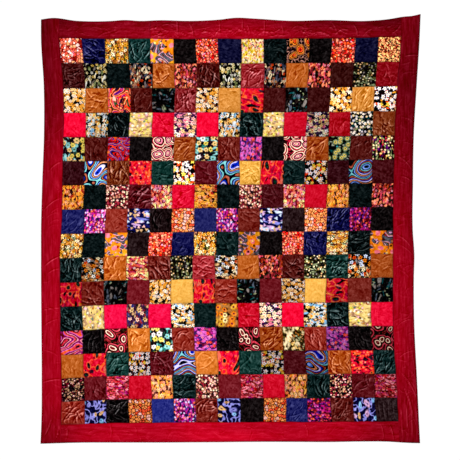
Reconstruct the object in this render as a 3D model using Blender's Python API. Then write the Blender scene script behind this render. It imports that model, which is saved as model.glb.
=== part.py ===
"""A patchwork bed quilt of velvet, spread out flat, face up.

Sixteen pieced rows of fifteen patches each are sewn together, inside a border of five velvet strips.
Each row and each strip is one solid. The quilt lies on the floor: +Z is up, +Y runs to its top edge.
"""

import random

import bmesh
import bpy
import numpy as np

# Overall size, in metres: the rectangle that the quilt's uneven outline just fits.
QUILT_WIDTH = 2.185
QUILT_LENGTH = 2.470

# The patchwork: its rows and columns, the height of its top seam, and the usual spacing of its rows.
ROWS = 16
COLUMNS = 15
TOP_SEAM_Y = 1.0895
ROW_PITCH = 0.1377
SEAM_SHIFT = 0.0042

# Thicknesses: in the ditch of a seam, at the crown of a patch and of a border strip, at the outer edge.
SEAM_HEIGHT = 0.0032
PATCH_PUFF = 0.0034
BORDER_PUFF = 0.0038
EDGE_HEIGHT = 0.0026
UNEVEN_PUFF = 0.15

# The border's gathers rise and fall along it by these many radians for each patch it passes.
GATHER_WAVES = (2.1, 0.83)

# What is uneven is drawn from these seeds, so that every run makes the same quilt.
SHIFT_SEED = 7
PUFF_SEED = 11

# Pieces that are sewn together keep this gap, so that each stays a solid of its own.
SEAM_GAP = 0.0003

# The top border is pieced from two lengths, joined above this column's seam.
TOP_JOIN_COLUMN = 4

# How finely the cloth is divided.
CELLS_PER_PATCH = 3
BORDER_STEPS = (0.0, 0.2, 0.5, 0.8, 1.0)
SHARP_ANGLE = 40

# The sides, in millimetres: the height above the middle, then how far each line lies in from the
# overall rectangle: the outer left edge, the left seam, the right seam and the outer right edge.
SIDE_COLUMNS = ("height", "outer_left", "seam_left", "seam_right", "outer_right")
SIDES = (
    (-1235, 0, 118, 121, 3),
    (-1113, 5, 121, 128, 9),
    (-837, 7, 121, 141, 22),
    (-561, 5, 115, 158, 36),
    (-285, 3, 112, 158, 39),
    (-147, 3, 113, 159, 36),
    (-9, 3, 120, 159, 45),
    (267, 10, 127, 155, 44),
    (543, 20, 132, 150, 39),
    (819, 19, 132, 134, 23),
    (1095, 3, 109, 113, 6),
    (1235, 3, 108, 112, 0),
)

# The ends, in millimetres: the place across from the middle, then how far the top edge and the
# bottom edge lie in from the overall rectangle.
END_COLUMNS = ("across", "outer_top", "outer_bottom")
ENDS = (
    (-1093, 32, 0),
    (-1026, 23, 2),
    (-888, 39, 6),
    (-681, 40, 7),
    (-612, 35, 7),
    (-520, 40, 7),
    (-405, 36, 7),
    (-233, 40, 8),
    (-60, 32, 9),
    (26, 22, 10),
    (147, 27, 11),
    (342, 39, 11),
    (572, 35, 10),
    (768, 40, 13),
    (906, 30, 12),
    (998, 15, 6),
    (1044, 11, 4),
    (1093, 0, 3),
)

# The seams between rows, in millimetres: the seam's number from the top, how far it lies below the
# even spacing at the middle, how much lower it ends at the left, and how much higher at the right.
SEAM_COLUMNS = ("seam", "below", "left_droop", "right_rise")
SEAMS = (
    (0, 0, -6, 14),
    (2, 5, 2, 10),
    (4, 11, 2, 9),
    (6, 10, 4, 9),
    (8, 5, 14, 9),
    (10, 0, 24, 8),
    (12, 1, 26, 5),
    (14, -3, 27, 1),
    (16, -3, 14, 5),
)
# How fast a droop or rise dies away from its side, in columns.
DROOP_REACH = 3.0

MM = 0.001


def column_of(table, names, name):
    """One named column of a table in millimetres, in metres."""
    return np.array([row[names.index(name)] for row in table], float) * MM


def smooth(places, values, at):
    """The smooth curve through the values at these places, read at another place or places."""
    slopes = np.gradient(values, places)
    at = np.clip(at, places[0], places[-1])
    low = np.clip(np.searchsorted(places, at) - 1, 0, len(places) - 2)
    span = places[low + 1] - places[low]
    t = (at - places[low]) / span
    start = values[low] * (1 + 2 * t) + slopes[low] * span * t
    end = values[low + 1] * (3 - 2 * t) - slopes[low + 1] * span * (1 - t)
    return start * (1 - t) ** 2 + end * t**2


def side_line(name, y):
    """How far across a side's line lies, at a height y: negative on the left."""
    inward = smooth(column_of(SIDES, SIDE_COLUMNS, "height"), column_of(SIDES, SIDE_COLUMNS, name), y)
    across = QUILT_WIDTH / 2 - inward
    return -across if name.endswith("left") else across


def end_line(name, x):
    """How high an end's outer edge lies, at a place x across: negative at the bottom."""
    inward = smooth(column_of(ENDS, END_COLUMNS, "across"), column_of(ENDS, END_COLUMNS, name), x)
    along = QUILT_LENGTH / 2 - inward
    return -along if name.endswith("bottom") else along


def row_line(column, row):
    """How high the line at this row position lies, at this column position."""
    places = column_of(SEAMS, SEAM_COLUMNS, "seam") / MM
    below, droop, rise = (
        smooth(places, column_of(SEAMS, SEAM_COLUMNS, name), row) for name in SEAM_COLUMNS[1:]
    )
    from_left = np.clip(column, 0, COLUMNS)
    from_right = COLUMNS - from_left
    settle = droop * np.exp(-from_left / DROOP_REACH) - rise * np.exp(-from_right / DROOP_REACH)
    return TOP_SEAM_Y - row * ROW_PITCH - below - settle


def seam_shifts():
    """How far each row's upright seams stray from even spacing, as rows of metres."""
    strays = random.Random(SHIFT_SEED)
    return [
        [0.0, *(strays.uniform(-SEAM_SHIFT, SEAM_SHIFT) for _ in range(COLUMNS - 1)), 0.0]
        for _ in range(ROWS)
    ]


def patch_puffs():
    """How much each patch is stuffed, as rows of shares of the usual puff."""
    stuffing = random.Random(PUFF_SEED)
    return [
        [1 + stuffing.uniform(-UNEVEN_PUFF, UNEVEN_PUFF) for _ in range(COLUMNS)]
        for _ in range(ROWS)
    ]


SHIFTS = seam_shifts()
PUFFS = patch_puffs()


def across(column, y):
    """How far across a column position lies, at a height y."""
    left, right = side_line("seam_left", y), side_line("seam_right", y)
    x = left + (right - left) * min(max(column, 0), COLUMNS) / COLUMNS
    if column < 0:
        x += (side_line("outer_left", y) - left) * -column
    if column > COLUMNS:
        x += (side_line("outer_right", y) - right) * (column - COLUMNS)
    return x


def place(column, row, shift=0.0):
    """The point (x, y) on the floor at a column and row position. Both run past the patchwork:
    from -1 at the outer left and top edges to one past the last column and row."""
    seam_y = row_line(column, min(max(row, 0), ROWS))
    x, y = across(column, seam_y), seam_y
    for _ in range(2):
        if row < 0:
            y = seam_y + (end_line("outer_top", x) - seam_y) * -row
        if row > ROWS:
            y = seam_y + (end_line("outer_bottom", x) - seam_y) * (row - ROWS)
        x = across(column, y)
    return float(x + shift), float(y)


def pillow(t):
    """The rise of a puffed cell across it: 0 at its two seams, 1 over most of its width."""
    return 1 - abs(2 * t - 1) ** 4


def patch_height(column, row, row_index):
    """The thickness of a pieced row at a column and row position."""
    column_index = min(int(column), COLUMNS - 1)
    puff = PATCH_PUFF * PUFFS[row_index][column_index]
    return SEAM_HEIGHT + puff * pillow(column - column_index) * pillow(row - row_index)


def border_height(outward, along):
    """The thickness of a border strip, from its seam at 0 to its outer edge at 1."""
    if outward == 1:
        return EDGE_HEIGHT
    short, long = (np.sin(wave * along) for wave in GATHER_WAVES)
    gathers = 1 + UNEVEN_PUFF * short * long
    return SEAM_HEIGHT + BORDER_PUFF * gathers * pillow(outward)


def make_material(name, colour, roughness):
    """A plain cloth material."""
    material = bpy.data.materials.new(name)
    material.use_nodes = True
    shader = material.node_tree.nodes["Principled BSDF"]
    shader.inputs["Base Color"].default_value = (*colour, 1.0)
    shader.inputs["Roughness"].default_value = roughness
    shader.inputs["Metallic"].default_value = 0.0
    return material


def cloth_solid(name, columns, rows, locate, height, sewn, material, collection):
    """One piece of cloth: a grid shaped by locate and height, closed by its flat underside.

    sewn names its sides that are sewn to a neighbour, which are drawn in by half the seam's gap.
    """
    cloth = bmesh.new()
    bmesh.ops.create_grid(cloth, x_segments=len(columns) - 1, y_segments=len(rows) - 1, size=0.5)
    half_gap = SEAM_GAP / 2
    for vert in cloth.verts:
        i = round((vert.co.x + 0.5) * (len(columns) - 1))
        j = round((vert.co.y + 0.5) * (len(rows) - 1))
        x, y = locate(columns[i], rows[j])
        if i == 0 and "left" in sewn:
            x += half_gap
        if i == len(columns) - 1 and "right" in sewn:
            x -= half_gap
        if j == 0 and "top" in sewn:
            y -= half_gap
        if j == len(rows) - 1 and "bottom" in sewn:
            y += half_gap
        vert.co = (x, y, height(columns[i], rows[j]))
    extruded = bmesh.ops.extrude_face_region(cloth, geom=cloth.faces[:])["geom"]
    underside = [part for part in extruded if isinstance(part, bmesh.types.BMFace)]
    for vert in {vert for face in underside for vert in face.verts}:
        vert.co.z = 0.0
    bmesh.ops.dissolve_faces(cloth, faces=underside)
    bmesh.ops.recalc_face_normals(cloth, faces=cloth.faces[:])
    mesh = bpy.data.meshes.new(name)
    cloth.to_mesh(mesh)
    cloth.free()
    mesh.materials.append(material)
    mesh.shade_smooth()
    mesh.set_sharp_from_angle(angle=np.radians(SHARP_ANGLE))
    piece = bpy.data.objects.new(name, mesh)
    collection.objects.link(piece)
    return piece


def spaced(start, end, cells):
    """Evenly spaced positions from start to end, both included."""
    return [start + (end - start) * step / cells for step in range(cells + 1)]


def pieced_row(index, material, collection):
    """One row of patches, whose upright seams stray a little from the rows above and below."""
    shifts = SHIFTS[index]

    def locate(column, row):
        seam = min(int(column), COLUMNS - 1)
        part = column - seam
        return place(column, row, shifts[seam] * (1 - part) + shifts[seam + 1] * part)

    return cloth_solid(
        f"row_{index + 1:02d}",
        spaced(0, COLUMNS, COLUMNS * CELLS_PER_PATCH),
        spaced(index, index + 1, CELLS_PER_PATCH),
        locate,
        lambda column, row: patch_height(column, row, index),
        ("left", "right", "top", "bottom"),
        material,
        collection,
    )


def side_border(name, from_left, material, collection):
    """A side strip, which runs the quilt's whole length."""
    outward = [-t for t in reversed(BORDER_STEPS)] if from_left else [COLUMNS + t for t in BORDER_STEPS]
    ends = [-t for t in reversed(BORDER_STEPS)]
    rows = ends[:-1] + spaced(0, ROWS, ROWS * CELLS_PER_PATCH) + [ROWS + t for t in BORDER_STEPS[1:]]

    def height(column, row):
        past_end = max(-row, row - ROWS, 0)
        if past_end == 1:
            return EDGE_HEIGHT
        return border_height(-column if from_left else column - COLUMNS, row)

    sewn = ("right",) if from_left else ("left",)
    return cloth_solid(name, outward, rows, place, height, sewn, material, collection)


def end_border(name, first_column, last_column, at_top, material, collection):
    """A strip of the top or bottom border, between the side strips."""
    rows = [-t for t in reversed(BORDER_STEPS)] if at_top else [ROWS + t for t in BORDER_STEPS]
    columns = spaced(first_column, last_column, (last_column - first_column) * CELLS_PER_PATCH)

    def height(column, row):
        outward = -row if at_top else row - ROWS
        joined = column in (first_column, last_column) and outward not in (0, 1)
        return SEAM_HEIGHT if joined else border_height(outward, column)

    sewn = ("left", "right", "bottom" if at_top else "top")
    return cloth_solid(name, columns, rows, place, height, sewn, material, collection)


def main():
    for old in list(bpy.data.objects):
        bpy.data.objects.remove(old, do_unlink=True)
    collection = bpy.data.collections.new("patchwork_quilt")
    bpy.context.scene.collection.children.link(collection)
    pieced_velvet = make_material("pieced_velvet", (0.28, 0.09, 0.06), 0.8)
    border_velvet = make_material("border_velvet", (0.38, 0.0, 0.02), 0.75)
    for index in range(ROWS):
        pieced_row(index, pieced_velvet, collection)
    side_border("border_left", True, border_velvet, collection)
    side_border("border_right", False, border_velvet, collection)
    end_border("border_top_short", 0, TOP_JOIN_COLUMN, True, border_velvet, collection)
    end_border("border_top_long", TOP_JOIN_COLUMN, COLUMNS, True, border_velvet, collection)
    end_border("border_bottom", 0, COLUMNS, False, border_velvet, collection)


main()
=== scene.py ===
"""The looks of a velvet patchwork quilt, spread out flat, face up, on a plain pale floor.

Sixteen pieced rows of fifteen patches and five border strips replace the plain solids of the frame.
The cloth is puffed between its seams, puckered along them, and crushed here and there into creases.
"""

import math
import random

import bmesh
import bpy
import numpy as np
from bpy.props import FloatProperty, FloatVectorProperty, IntProperty, PointerProperty
from bpy.types import Operator, Panel, PropertyGroup
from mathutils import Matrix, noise


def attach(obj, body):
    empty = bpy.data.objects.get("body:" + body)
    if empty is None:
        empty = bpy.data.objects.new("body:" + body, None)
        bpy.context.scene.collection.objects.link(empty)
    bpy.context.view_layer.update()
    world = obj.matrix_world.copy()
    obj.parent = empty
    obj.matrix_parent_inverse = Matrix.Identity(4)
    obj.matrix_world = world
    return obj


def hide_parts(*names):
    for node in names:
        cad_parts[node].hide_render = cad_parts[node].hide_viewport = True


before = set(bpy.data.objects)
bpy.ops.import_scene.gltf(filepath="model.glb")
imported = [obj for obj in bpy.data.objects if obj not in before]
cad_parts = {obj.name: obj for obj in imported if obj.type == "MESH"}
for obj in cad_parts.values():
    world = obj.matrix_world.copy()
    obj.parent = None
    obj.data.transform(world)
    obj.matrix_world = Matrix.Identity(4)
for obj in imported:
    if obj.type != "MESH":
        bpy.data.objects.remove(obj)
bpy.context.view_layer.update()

bl_info = {
    "name": "Velvet Patchwork Quilt",
    "version": (1, 0, 0),
    "blender": (4, 5, 0),
    "location": "3D View > Sidebar > Quilt",
    "description": "A velvet patchwork quilt, spread out flat, and the stage that it is seen on",
    "category": "Add Mesh",
}

MM = 0.001

# The quilt's overall rectangle, its rows and columns, the height of its top seam, and the spacing of
# its rows, its columns and its border, in metres.
QUILT_WIDTH = 2.185
QUILT_LENGTH = 2.470
ROWS = 16
COLUMNS = 15
TOP_SEAM_Y = 1.0895
ROW_PITCH = 0.1377
PATCH_WIDTH = 0.1275
BORDER_WIDTH = 0.115
# The column position of the join in the top border.
TOP_JOIN_COLUMN = 4
# The gap between sewn pieces, and how far the seams wave, how far upright ones stray from even
# spacing and how far they lean, in metres.
SEAM_GAP = 0.0003
SEAM_WAVE = 0.0017
SEAM_SHIFT = 0.0042
SEAM_LEAN = 0.0024
# How unevenly the cloth is stuffed, as a share of its puff, and the waves of that along the border.
UNEVEN_PUFF = 0.15
GATHER_WAVES = (2.1, 0.83)
# Where the random draws start for the stray of the seams, the stuffing and the cloth.
SHIFT_SEED = 7
PUFF_SEED = 11
CLOTH_SEED = 23

# The sides, in millimetres: the height above the middle, then how far each line lies in from the
# overall rectangle: the outer left edge, the left seam, the right seam and the outer right edge.
SIDE_COLUMNS = ("height", "outer_left", "seam_left", "seam_right", "outer_right")
SIDES = (
    (-1235, 0, 118, 121, 3),
    (-1113, 5, 121, 128, 9),
    (-837, 7, 121, 141, 22),
    (-561, 5, 115, 158, 36),
    (-285, 3, 112, 158, 39),
    (-147, 3, 113, 159, 36),
    (-9, 3, 120, 159, 45),
    (267, 10, 127, 155, 44),
    (543, 20, 132, 150, 39),
    (819, 19, 132, 134, 23),
    (1095, 3, 109, 113, 6),
    (1235, 3, 108, 112, 0),
)

# The ends, in millimetres: the place across from the middle, then how far the top edge and the
# bottom edge lie in from the overall rectangle.
END_COLUMNS = ("across", "outer_top", "outer_bottom")
ENDS = (
    (-1093, 32, 0),
    (-1026, 23, 2),
    (-888, 39, 6),
    (-681, 40, 7),
    (-612, 35, 7),
    (-520, 40, 7),
    (-405, 36, 7),
    (-233, 40, 8),
    (-60, 32, 9),
    (26, 22, 10),
    (147, 27, 11),
    (342, 39, 11),
    (572, 35, 10),
    (768, 40, 13),
    (906, 30, 12),
    (998, 15, 6),
    (1044, 11, 4),
    (1093, 0, 3),
)

# The seams between rows, in millimetres: the seam's number from the top, how far it lies below the
# even spacing at the middle, how much lower it ends at the left, and how much higher at the right.
SEAM_COLUMNS = ("seam", "below", "left_droop", "right_rise")
SEAMS = (
    (0, 0, -6, 14),
    (2, 5, 2, 10),
    (4, 11, 2, 9),
    (6, 10, 4, 9),
    (8, 5, 14, 9),
    (10, 0, 24, 8),
    (12, 1, 26, 5),
    (14, -3, 27, 1),
    (16, -3, 14, 5),
)
# How fast a droop or rise dies away from its side, in columns.
DROOP_REACH = 3.0

# Which velvet each patch is cut from, row by row. A figure after the name says how far its pile is
# crushed, from 1 for a few faint creases to 3 for a patch covered in them, + or - that its pile lies
# lighter or darker than the velvet does elsewhere, and ++ or -- that it lies much lighter or darker.
CHART = (
    "coral navy.3 gold teal.3 bloom+ black ember midnight+ primrose spruce.1 paisley black- ember"
    " midnight squiggle",
    "chocolate.2 hedge- spruce- wildflower- camel.2 claret_sprig mahogany.3 hedge wine.3 wildflower-"
    " camel.1 claret_sprig umber olive- cardinal.1-",
    "butter camel.2 flame mahogany.1 night_leaf- wine.3- butter mustard.1 poppy chocolate"
    " night_leaf++ chocolate- butter+ mustard.2 snow+",
    "scarlet harbour- spruce.3 primula cerise.1 pansy+ scarlet harbour bottle.3 primula.1 crimson"
    " pansy-- cardinal.1+ frost bronze.2",
    "lagoon- mahogany.1 ember_violet black agate tan.2 lagoon russet.2 violet black agate tan.2 pond"
    " mahogany.1 confetti",
    "prune contour+ bronze.3 poppy_small forest.1 snow++ oxblood.1 contour honey.2 poppy bottle.1"
    " snow- prune contour- plum",
    "pebble_gold spruce- speckle oxblood.3 sherbet cerise.1 pebble_gold spruce speckle plum.1+"
    " sherbet crimson pebble_gold spruce- claret_sprig",
    "royal.1 magenta+ rust.1 periwinkle soot.1- peach royal magenta russet.1 periwinkle soot+ peach"
    " navy.3 berry black-",
    "gold spruce bloom+ soot ember+ navy.1 gold.2+ bottle.1 bloom- black ember navy.2 gold spruce.2"
    " bloom-",
    "bottle.3 sunbird- camel.2+ sherbet russet.3 olive wine.3+ sunbird camel.1 claret_sprig"
    " mahogany.2 olive++ forest.3 sunbird tan.1",
    "poppy- russet.2 night_leaf- burgundy+ butter honey poppy rust.2 night_leaf+ burgundy butter-"
    " honey poppy- russet night_leaf-",
    "bottle.3 primula cherry pansy_dark cherry harbour+ bottle- daisy crimson.1 pansy+ scarlet"
    " harbour bottle.3 primula.1 cerise",
    "ogee black.1 agate_dark+ amber.2 lagoon+ rust.2 violet+ black.1+ agate_dark tan.3 thicket rust.2"
    " violet-- black.1 agate_dark--",
    "camel.1 poppy forest.2+ snow- oxblood.2 contour amber.1 poppy+ forest.1 snow-- plum+ contour--"
    " tan.3+ poppy_small bottle.2+",
    "speckle_dark- burgundy.1 rosebud+ crimson marigold+ bottle.2 speckle burgundy+ rosebud crimson"
    " marigold- bottle.2 speckle_dark+ burgundy.1- rosebud-",
    "rust.3 scroll black.2 peach- cobalt magenta russet.3+ scroll black+ peach- royal.1 berry"
    " mahogany.2+ scroll soot+",
)

# The plain velvets, as red, green and blue from 0 to 255.
VELVETS = {
    "black": (16, 10, 11),
    "soot": (33, 18, 20),
    "midnight": (11, 11, 42),
    "navy": (20, 20, 74),
    "royal": (32, 34, 94),
    "cobalt": (36, 42, 122),
    "teal": (24, 58, 56),
    "bottle": (14, 34, 34),
    "spruce": (8, 19, 20),
    "forest": (22, 56, 51),
    "umber": (52, 13, 11),
    "chocolate": (66, 16, 16),
    "mahogany": (83, 22, 18),
    "oxblood": (95, 17, 26),
    "prune": (50, 10, 17),
    "plum": (66, 12, 18),
    "burgundy": (104, 21, 29),
    "wine": (164, 48, 54),
    "cardinal": (154, 12, 26),
    "crimson": (204, 12, 38),
    "cerise": (230, 14, 52),
    "scarlet": (249, 10, 54),
    "cherry": (248, 14, 70),
    "rust": (152, 50, 38),
    "russet": (116, 36, 28),
    "bronze": (128, 57, 26),
    "tan": (164, 76, 28),
    "camel": (190, 97, 36),
    "amber": (229, 128, 50),
    "mustard": (226, 148, 66),
    "honey": (250, 184, 82),
    "border_crimson": (172, 3, 28),
    "wrong_side": (96, 22, 30),
    "floor": (255, 255, 255),
}

# The inks of the printed velvets, as red, green and blue from 0 to 255.
INKS = {
    "black": (12, 8, 10),
    "soot": (36, 26, 24),
    "white": (252, 248, 240),
    "cream": (252, 232, 188),
    "butter": (250, 212, 132),
    "lemon": (242, 222, 96),
    "gold": (228, 164, 58),
    "ochre": (190, 124, 58),
    "amber": (236, 140, 44),
    "orange": (236, 98, 38),
    "tangerine": (252, 84, 38),
    "flame": (240, 46, 34),
    "red": (226, 22, 40),
    "crimson": (186, 12, 42),
    "brick": (160, 46, 24),
    "brown": (84, 32, 18),
    "cocoa": (50, 18, 12),
    "maroon": (98, 18, 24),
    "claret": (142, 34, 46),
    "rose": (208, 66, 88),
    "pink": (238, 130, 152),
    "blush": (252, 192, 176),
    "peach": (252, 170, 118),
    "salmon": (246, 126, 96),
    "coral": (230, 92, 68),
    "magenta": (172, 26, 110),
    "orchid": (212, 92, 164),
    "lilac": (204, 162, 202),
    "violet": (110, 34, 126),
    "aubergine": (58, 18, 56),
    "navy": (16, 14, 62),
    "indigo": (46, 42, 106),
    "blue": (48, 96, 186),
    "periwinkle": (132, 130, 202),
    "sky": (136, 182, 226),
    "mist": (208, 216, 234),
    "aqua": (142, 216, 206),
    "jade": (50, 140, 120),
    "teal": (30, 86, 90),
    "bottle": (10, 34, 32),
    "forest": (26, 74, 50),
    "leaf": (96, 122, 50),
    "olive": (106, 100, 50),
    "moss": (62, 58, 32),
    "sage": (150, 158, 120),
    "slate": (88, 96, 110),
    "grey": (140, 130, 126),
    "sand": (214, 170, 120),
    "fawn": (182, 130, 96),
}

# The light on the cloth, of which a white surface sends back this much: colours are divided by it.
LIGHT_LEVEL = 1.08


def linear(colour):
    """A colour from 0 to 255 as the light it sends back, from 0 to 1."""
    shares = (part / 255 for part in colour)
    return tuple((s / 12.92 if s <= 0.04045 else ((s + 0.055) / 1.055) ** 2.4) for s in shares)


def dyed(colour):
    """The cloth's own colour, for a colour from 0 to 255 as it looks in the stage's light."""
    return tuple(part / LIGHT_LEVEL for part in linear(colour))


# Properties

def length_property(name, description, default):
    """A length in metres."""
    return FloatProperty(name=name, description=description, default=default, unit="LENGTH", precision=4)


def colour_property(name, description, default):
    """A colour as red, green and blue light from 0 to 1."""
    return FloatVectorProperty(
        name=name, description=description, default=default, subtype="COLOR", size=3, min=0.0, max=1.0
    )


class QuiltSizes(PropertyGroup):
    """How the cloth is puffed, puckered and creased."""

    seam_height: length_property("Seam height", "Thickness of the cloth at a seam", 0.0032)
    seam_ditch: length_property("Seam ditch", "How much further the cloth dips right at a seam", 0.0011)
    ditch_width: length_property("Ditch width", "How far from a seam its ditch reaches", 0.0032)
    patch_puff: length_property("Patch puff", "How far a patch rises above its seams", 0.0034)
    border_puff: length_property("Border puff", "How far the border rises above its seams", 0.0038)
    edge_height: length_property("Edge height", "Thickness of the turned outer edge", 0.0026)
    edge_round: length_property("Edge round", "How far in from the edge the cloth rolls over", 0.006)
    pucker_height: length_property("Pucker height", "How far the gathers beside a seam rise", 0.0005)
    pucker_spacing: length_property("Pucker spacing", "From one gather beside a seam to the next", 0.0105)
    crease_height: length_property("Crease height", "How far a crease in the pile stands up", 0.0012)
    crease_width: length_property("Crease width", "Half the width of a crease", 0.0034)
    patch_cells: IntProperty(
        name="Patch cells", description="How many cells a patch has each way", default=38, min=8
    )
    border_cells: IntProperty(
        name="Border cells", description="How many cells a strip has beside a patch", default=30, min=8
    )


class QuiltColours(PropertyGroup):
    """The colours of the plain velvets and of the stage."""

    __annotations__ = {
        name: colour_property(name.replace("_", " ").capitalize(), "This surface's colour", dyed(colour))
        for name, colour in VELVETS.items()
    }


class QuiltInks(PropertyGroup):
    """The inks of the printed velvets."""

    __annotations__ = {
        name: colour_property(name.capitalize(), "Colour of this printing ink", dyed(colour))
        for name, colour in INKS.items()
    }


# Where the cloth lies

def column_of(table, names, name):
    """One named column of a table in millimetres, in metres."""
    return np.array([row[names.index(name)] for row in table], float) * MM


def smooth(places, values, at):
    """The smooth curve through the values at these places, read at other places."""
    slopes = np.gradient(values, places)
    at = np.clip(at, places[0], places[-1])
    low = np.clip(np.searchsorted(places, at) - 1, 0, len(places) - 2)
    span = places[low + 1] - places[low]
    t = (at - places[low]) / span
    start = values[low] * (1 + 2 * t) + slopes[low] * span * t
    end = values[low + 1] * (3 - 2 * t) - slopes[low + 1] * span * (1 - t)
    return start * (1 - t) ** 2 + end * t**2


def side_line(name, y):
    """How far across a side's line lies, at heights y: negative on the left."""
    inward = smooth(column_of(SIDES, SIDE_COLUMNS, "height"), column_of(SIDES, SIDE_COLUMNS, name), y)
    across = QUILT_WIDTH / 2 - inward
    return -across if name.endswith("left") else across


def end_line(name, x):
    """How high an end's outer edge lies, at places x across: negative at the bottom."""
    inward = smooth(column_of(ENDS, END_COLUMNS, "across"), column_of(ENDS, END_COLUMNS, name), x)
    along = QUILT_LENGTH / 2 - inward
    return -along if name.endswith("bottom") else along


def row_line(column, row):
    """How high the line at this row position lies, at this column position."""
    places = column_of(SEAMS, SEAM_COLUMNS, "seam") / MM
    below, droop, rise = (
        smooth(places, column_of(SEAMS, SEAM_COLUMNS, name), row) for name in SEAM_COLUMNS[1:]
    )
    from_left = np.clip(column, 0, COLUMNS)
    from_right = COLUMNS - from_left
    settle = droop * np.exp(-from_left / DROOP_REACH) - rise * np.exp(-from_right / DROOP_REACH)
    return TOP_SEAM_Y - row * ROW_PITCH - below - settle


def across(column, y):
    """How far across column positions lie, at heights y."""
    left, right = side_line("seam_left", y), side_line("seam_right", y)
    x = left + (right - left) * np.clip(column, 0, COLUMNS) / COLUMNS
    x = np.where(column < 0, x + (side_line("outer_left", y) - left) * -column, x)
    return np.where(column > COLUMNS, x + (side_line("outer_right", y) - right) * (column - COLUMNS), x)


def place(column, row):
    """The points (x, y) on the floor at column and row positions. Both run past the patchwork:
    from -1 at the outer left and top edges to one past the last column and row."""
    seam_y = row_line(column, np.clip(row, 0, ROWS))
    x, y = across(column, seam_y), seam_y
    for _ in range(2):
        y = np.where(row < 0, seam_y + (end_line("outer_top", x) - seam_y) * -row, seam_y)
        y = np.where(row > ROWS, seam_y + (end_line("outer_bottom", x) - seam_y) * (row - ROWS), y)
        x = across(column, y)
    beyond_end = np.maximum(-row, row - ROWS)
    beyond_side = np.maximum(-column, column - COLUMNS)
    kept = np.clip(1 - beyond_end, 0, 1) * np.clip(1 - beyond_side, 0, 1)
    x = x + SEAM_WAVE * np.sin(4.1 * row + 1.7 * column) * np.sin(2.3 * row - 1.1 * column) * kept
    y = y + SEAM_WAVE * np.sin(3.7 * column + 2.1 * row) * np.sin(1.9 * column - 4.3 * row) * kept
    return x, y


def seam_shifts():
    """How far each row's upright seams stray from even spacing, as rows of metres."""
    strays = random.Random(SHIFT_SEED)
    return [
        [0.0, *(strays.uniform(-SEAM_SHIFT, SEAM_SHIFT) for _ in range(COLUMNS - 1)), 0.0]
        for _ in range(ROWS)
    ]


def patch_puffs():
    """How much each patch is stuffed, as rows of shares of the usual puff."""
    stuffing = random.Random(PUFF_SEED)
    return [
        [1 + stuffing.uniform(-UNEVEN_PUFF, UNEVEN_PUFF) for _ in range(COLUMNS)]
        for _ in range(ROWS)
    ]


SHIFTS = seam_shifts()
PUFFS = patch_puffs()


def noise_at(x, y, seed):
    """Soft noise between about -1 and 1 at each of these places."""
    return np.fromiter((noise.noise((a, b, seed)) for a, b in zip(x, y)), float, len(x))


# Crumpled pile, in folds: how fast the folds sway, break off and change in strength, how far they
# sway, how strong they are at the middle, how much that varies and up to what, the width of a crest,
# and the place, the width and the depth of the trough beside it.
SWAY_RATE = 0.5
BREAK_RATE = 0.34
FORCE_RATE = 0.35
FOLD_SWAY = 1.4
FOLD_FORCE = 0.55
FORCE_SPREAD = 1.6
FORCE_LIMIT = 1.3
CREST_WIDTH = 0.075
TROUGH_PLACE = 0.22
TROUGH_WIDTH = 0.13
TROUGH_DEPTH = 0.9


def crumple(x, y, lean, fold, seed):
    """The crests, up to 1, and the troughs beside them, below 0, of pile that is crumpled along the
    direction lean, with its folds about this far apart."""
    along = (x * math.cos(lean) + y * math.sin(lean)) / fold
    over = (y * math.cos(lean) - x * math.sin(lean)) / fold
    sway = noise_at(along * SWAY_RATE, over * SWAY_RATE, seed)
    level = noise_at(along * BREAK_RATE, over + sway * FOLD_SWAY, seed + 9.5)
    force = FOLD_FORCE + FORCE_SPREAD * noise_at(along * FORCE_RATE, over * FORCE_RATE, seed + 19.5)
    crest = np.exp(-((level / CREST_WIDTH) ** 2))
    trough = np.exp(-(((level - TROUGH_PLACE) / TROUGH_WIDTH) ** 2))
    return (crest - TROUGH_DEPTH * trough) * np.clip(force, 0, FORCE_LIMIT)


def pillow(t):
    """The rise of a puffed cell across it: 0 at its two seams, 1 over most of its width."""
    return 1 - np.abs(2 * t - 1) ** 4


# Shader maths

class Reading:
    """What one socket of a node gives over the cloth. Arithmetic on it adds Math nodes."""

    def __init__(self, finish, socket):
        self.finish = finish
        self.socket = socket

    def other(self, output):
        """Another output of the same node."""
        return Reading(self.finish, self.socket.node.outputs[output])

    def maths(self, operation, *others, first=None, clamp=False):
        """A Math node on this and other values, or on first and this."""
        values = (self, *others) if first is None else (first, self)
        settings = {"operation": operation, "use_clamp": clamp}
        return self.finish.add("ShaderNodeMath", settings, dict(enumerate(values)))

    def __add__(self, other):
        return self.maths("ADD", other)

    def __sub__(self, other):
        return self.maths("SUBTRACT", other)

    def __mul__(self, other):
        return self.maths("MULTIPLY", other)

    def __truediv__(self, other):
        return self.maths("DIVIDE", other)

    def __rsub__(self, other):
        return self.maths("SUBTRACT", first=other)

    def __lt__(self, other):
        return self.maths("LESS_THAN", other)

    def __abs__(self):
        return self.maths("ABSOLUTE")

    __radd__ = __add__
    __rmul__ = __mul__

    def clamped(self):
        """Kept between 0 and 1."""
        return self.maths("ADD", 0.0, clamp=True)

    def parts(self):
        """The x and y of a place, or the first two parts of a colour."""
        split = self.finish.add("ShaderNodeSeparateXYZ", {}, {0: self})
        return split, split.other(1)

    def vector(self, operation, *values):
        """Vector Math on this and other places or colours."""
        return self.finish.add("ShaderNodeVectorMath", {"operation": operation},
                               dict(enumerate((self, *values))))

    def scaled(self, share):
        """A colour, lighter or darker."""
        return self.finish.add("ShaderNodeVectorMath", {"operation": "SCALE"}, {0: self, "Scale": share})


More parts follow.
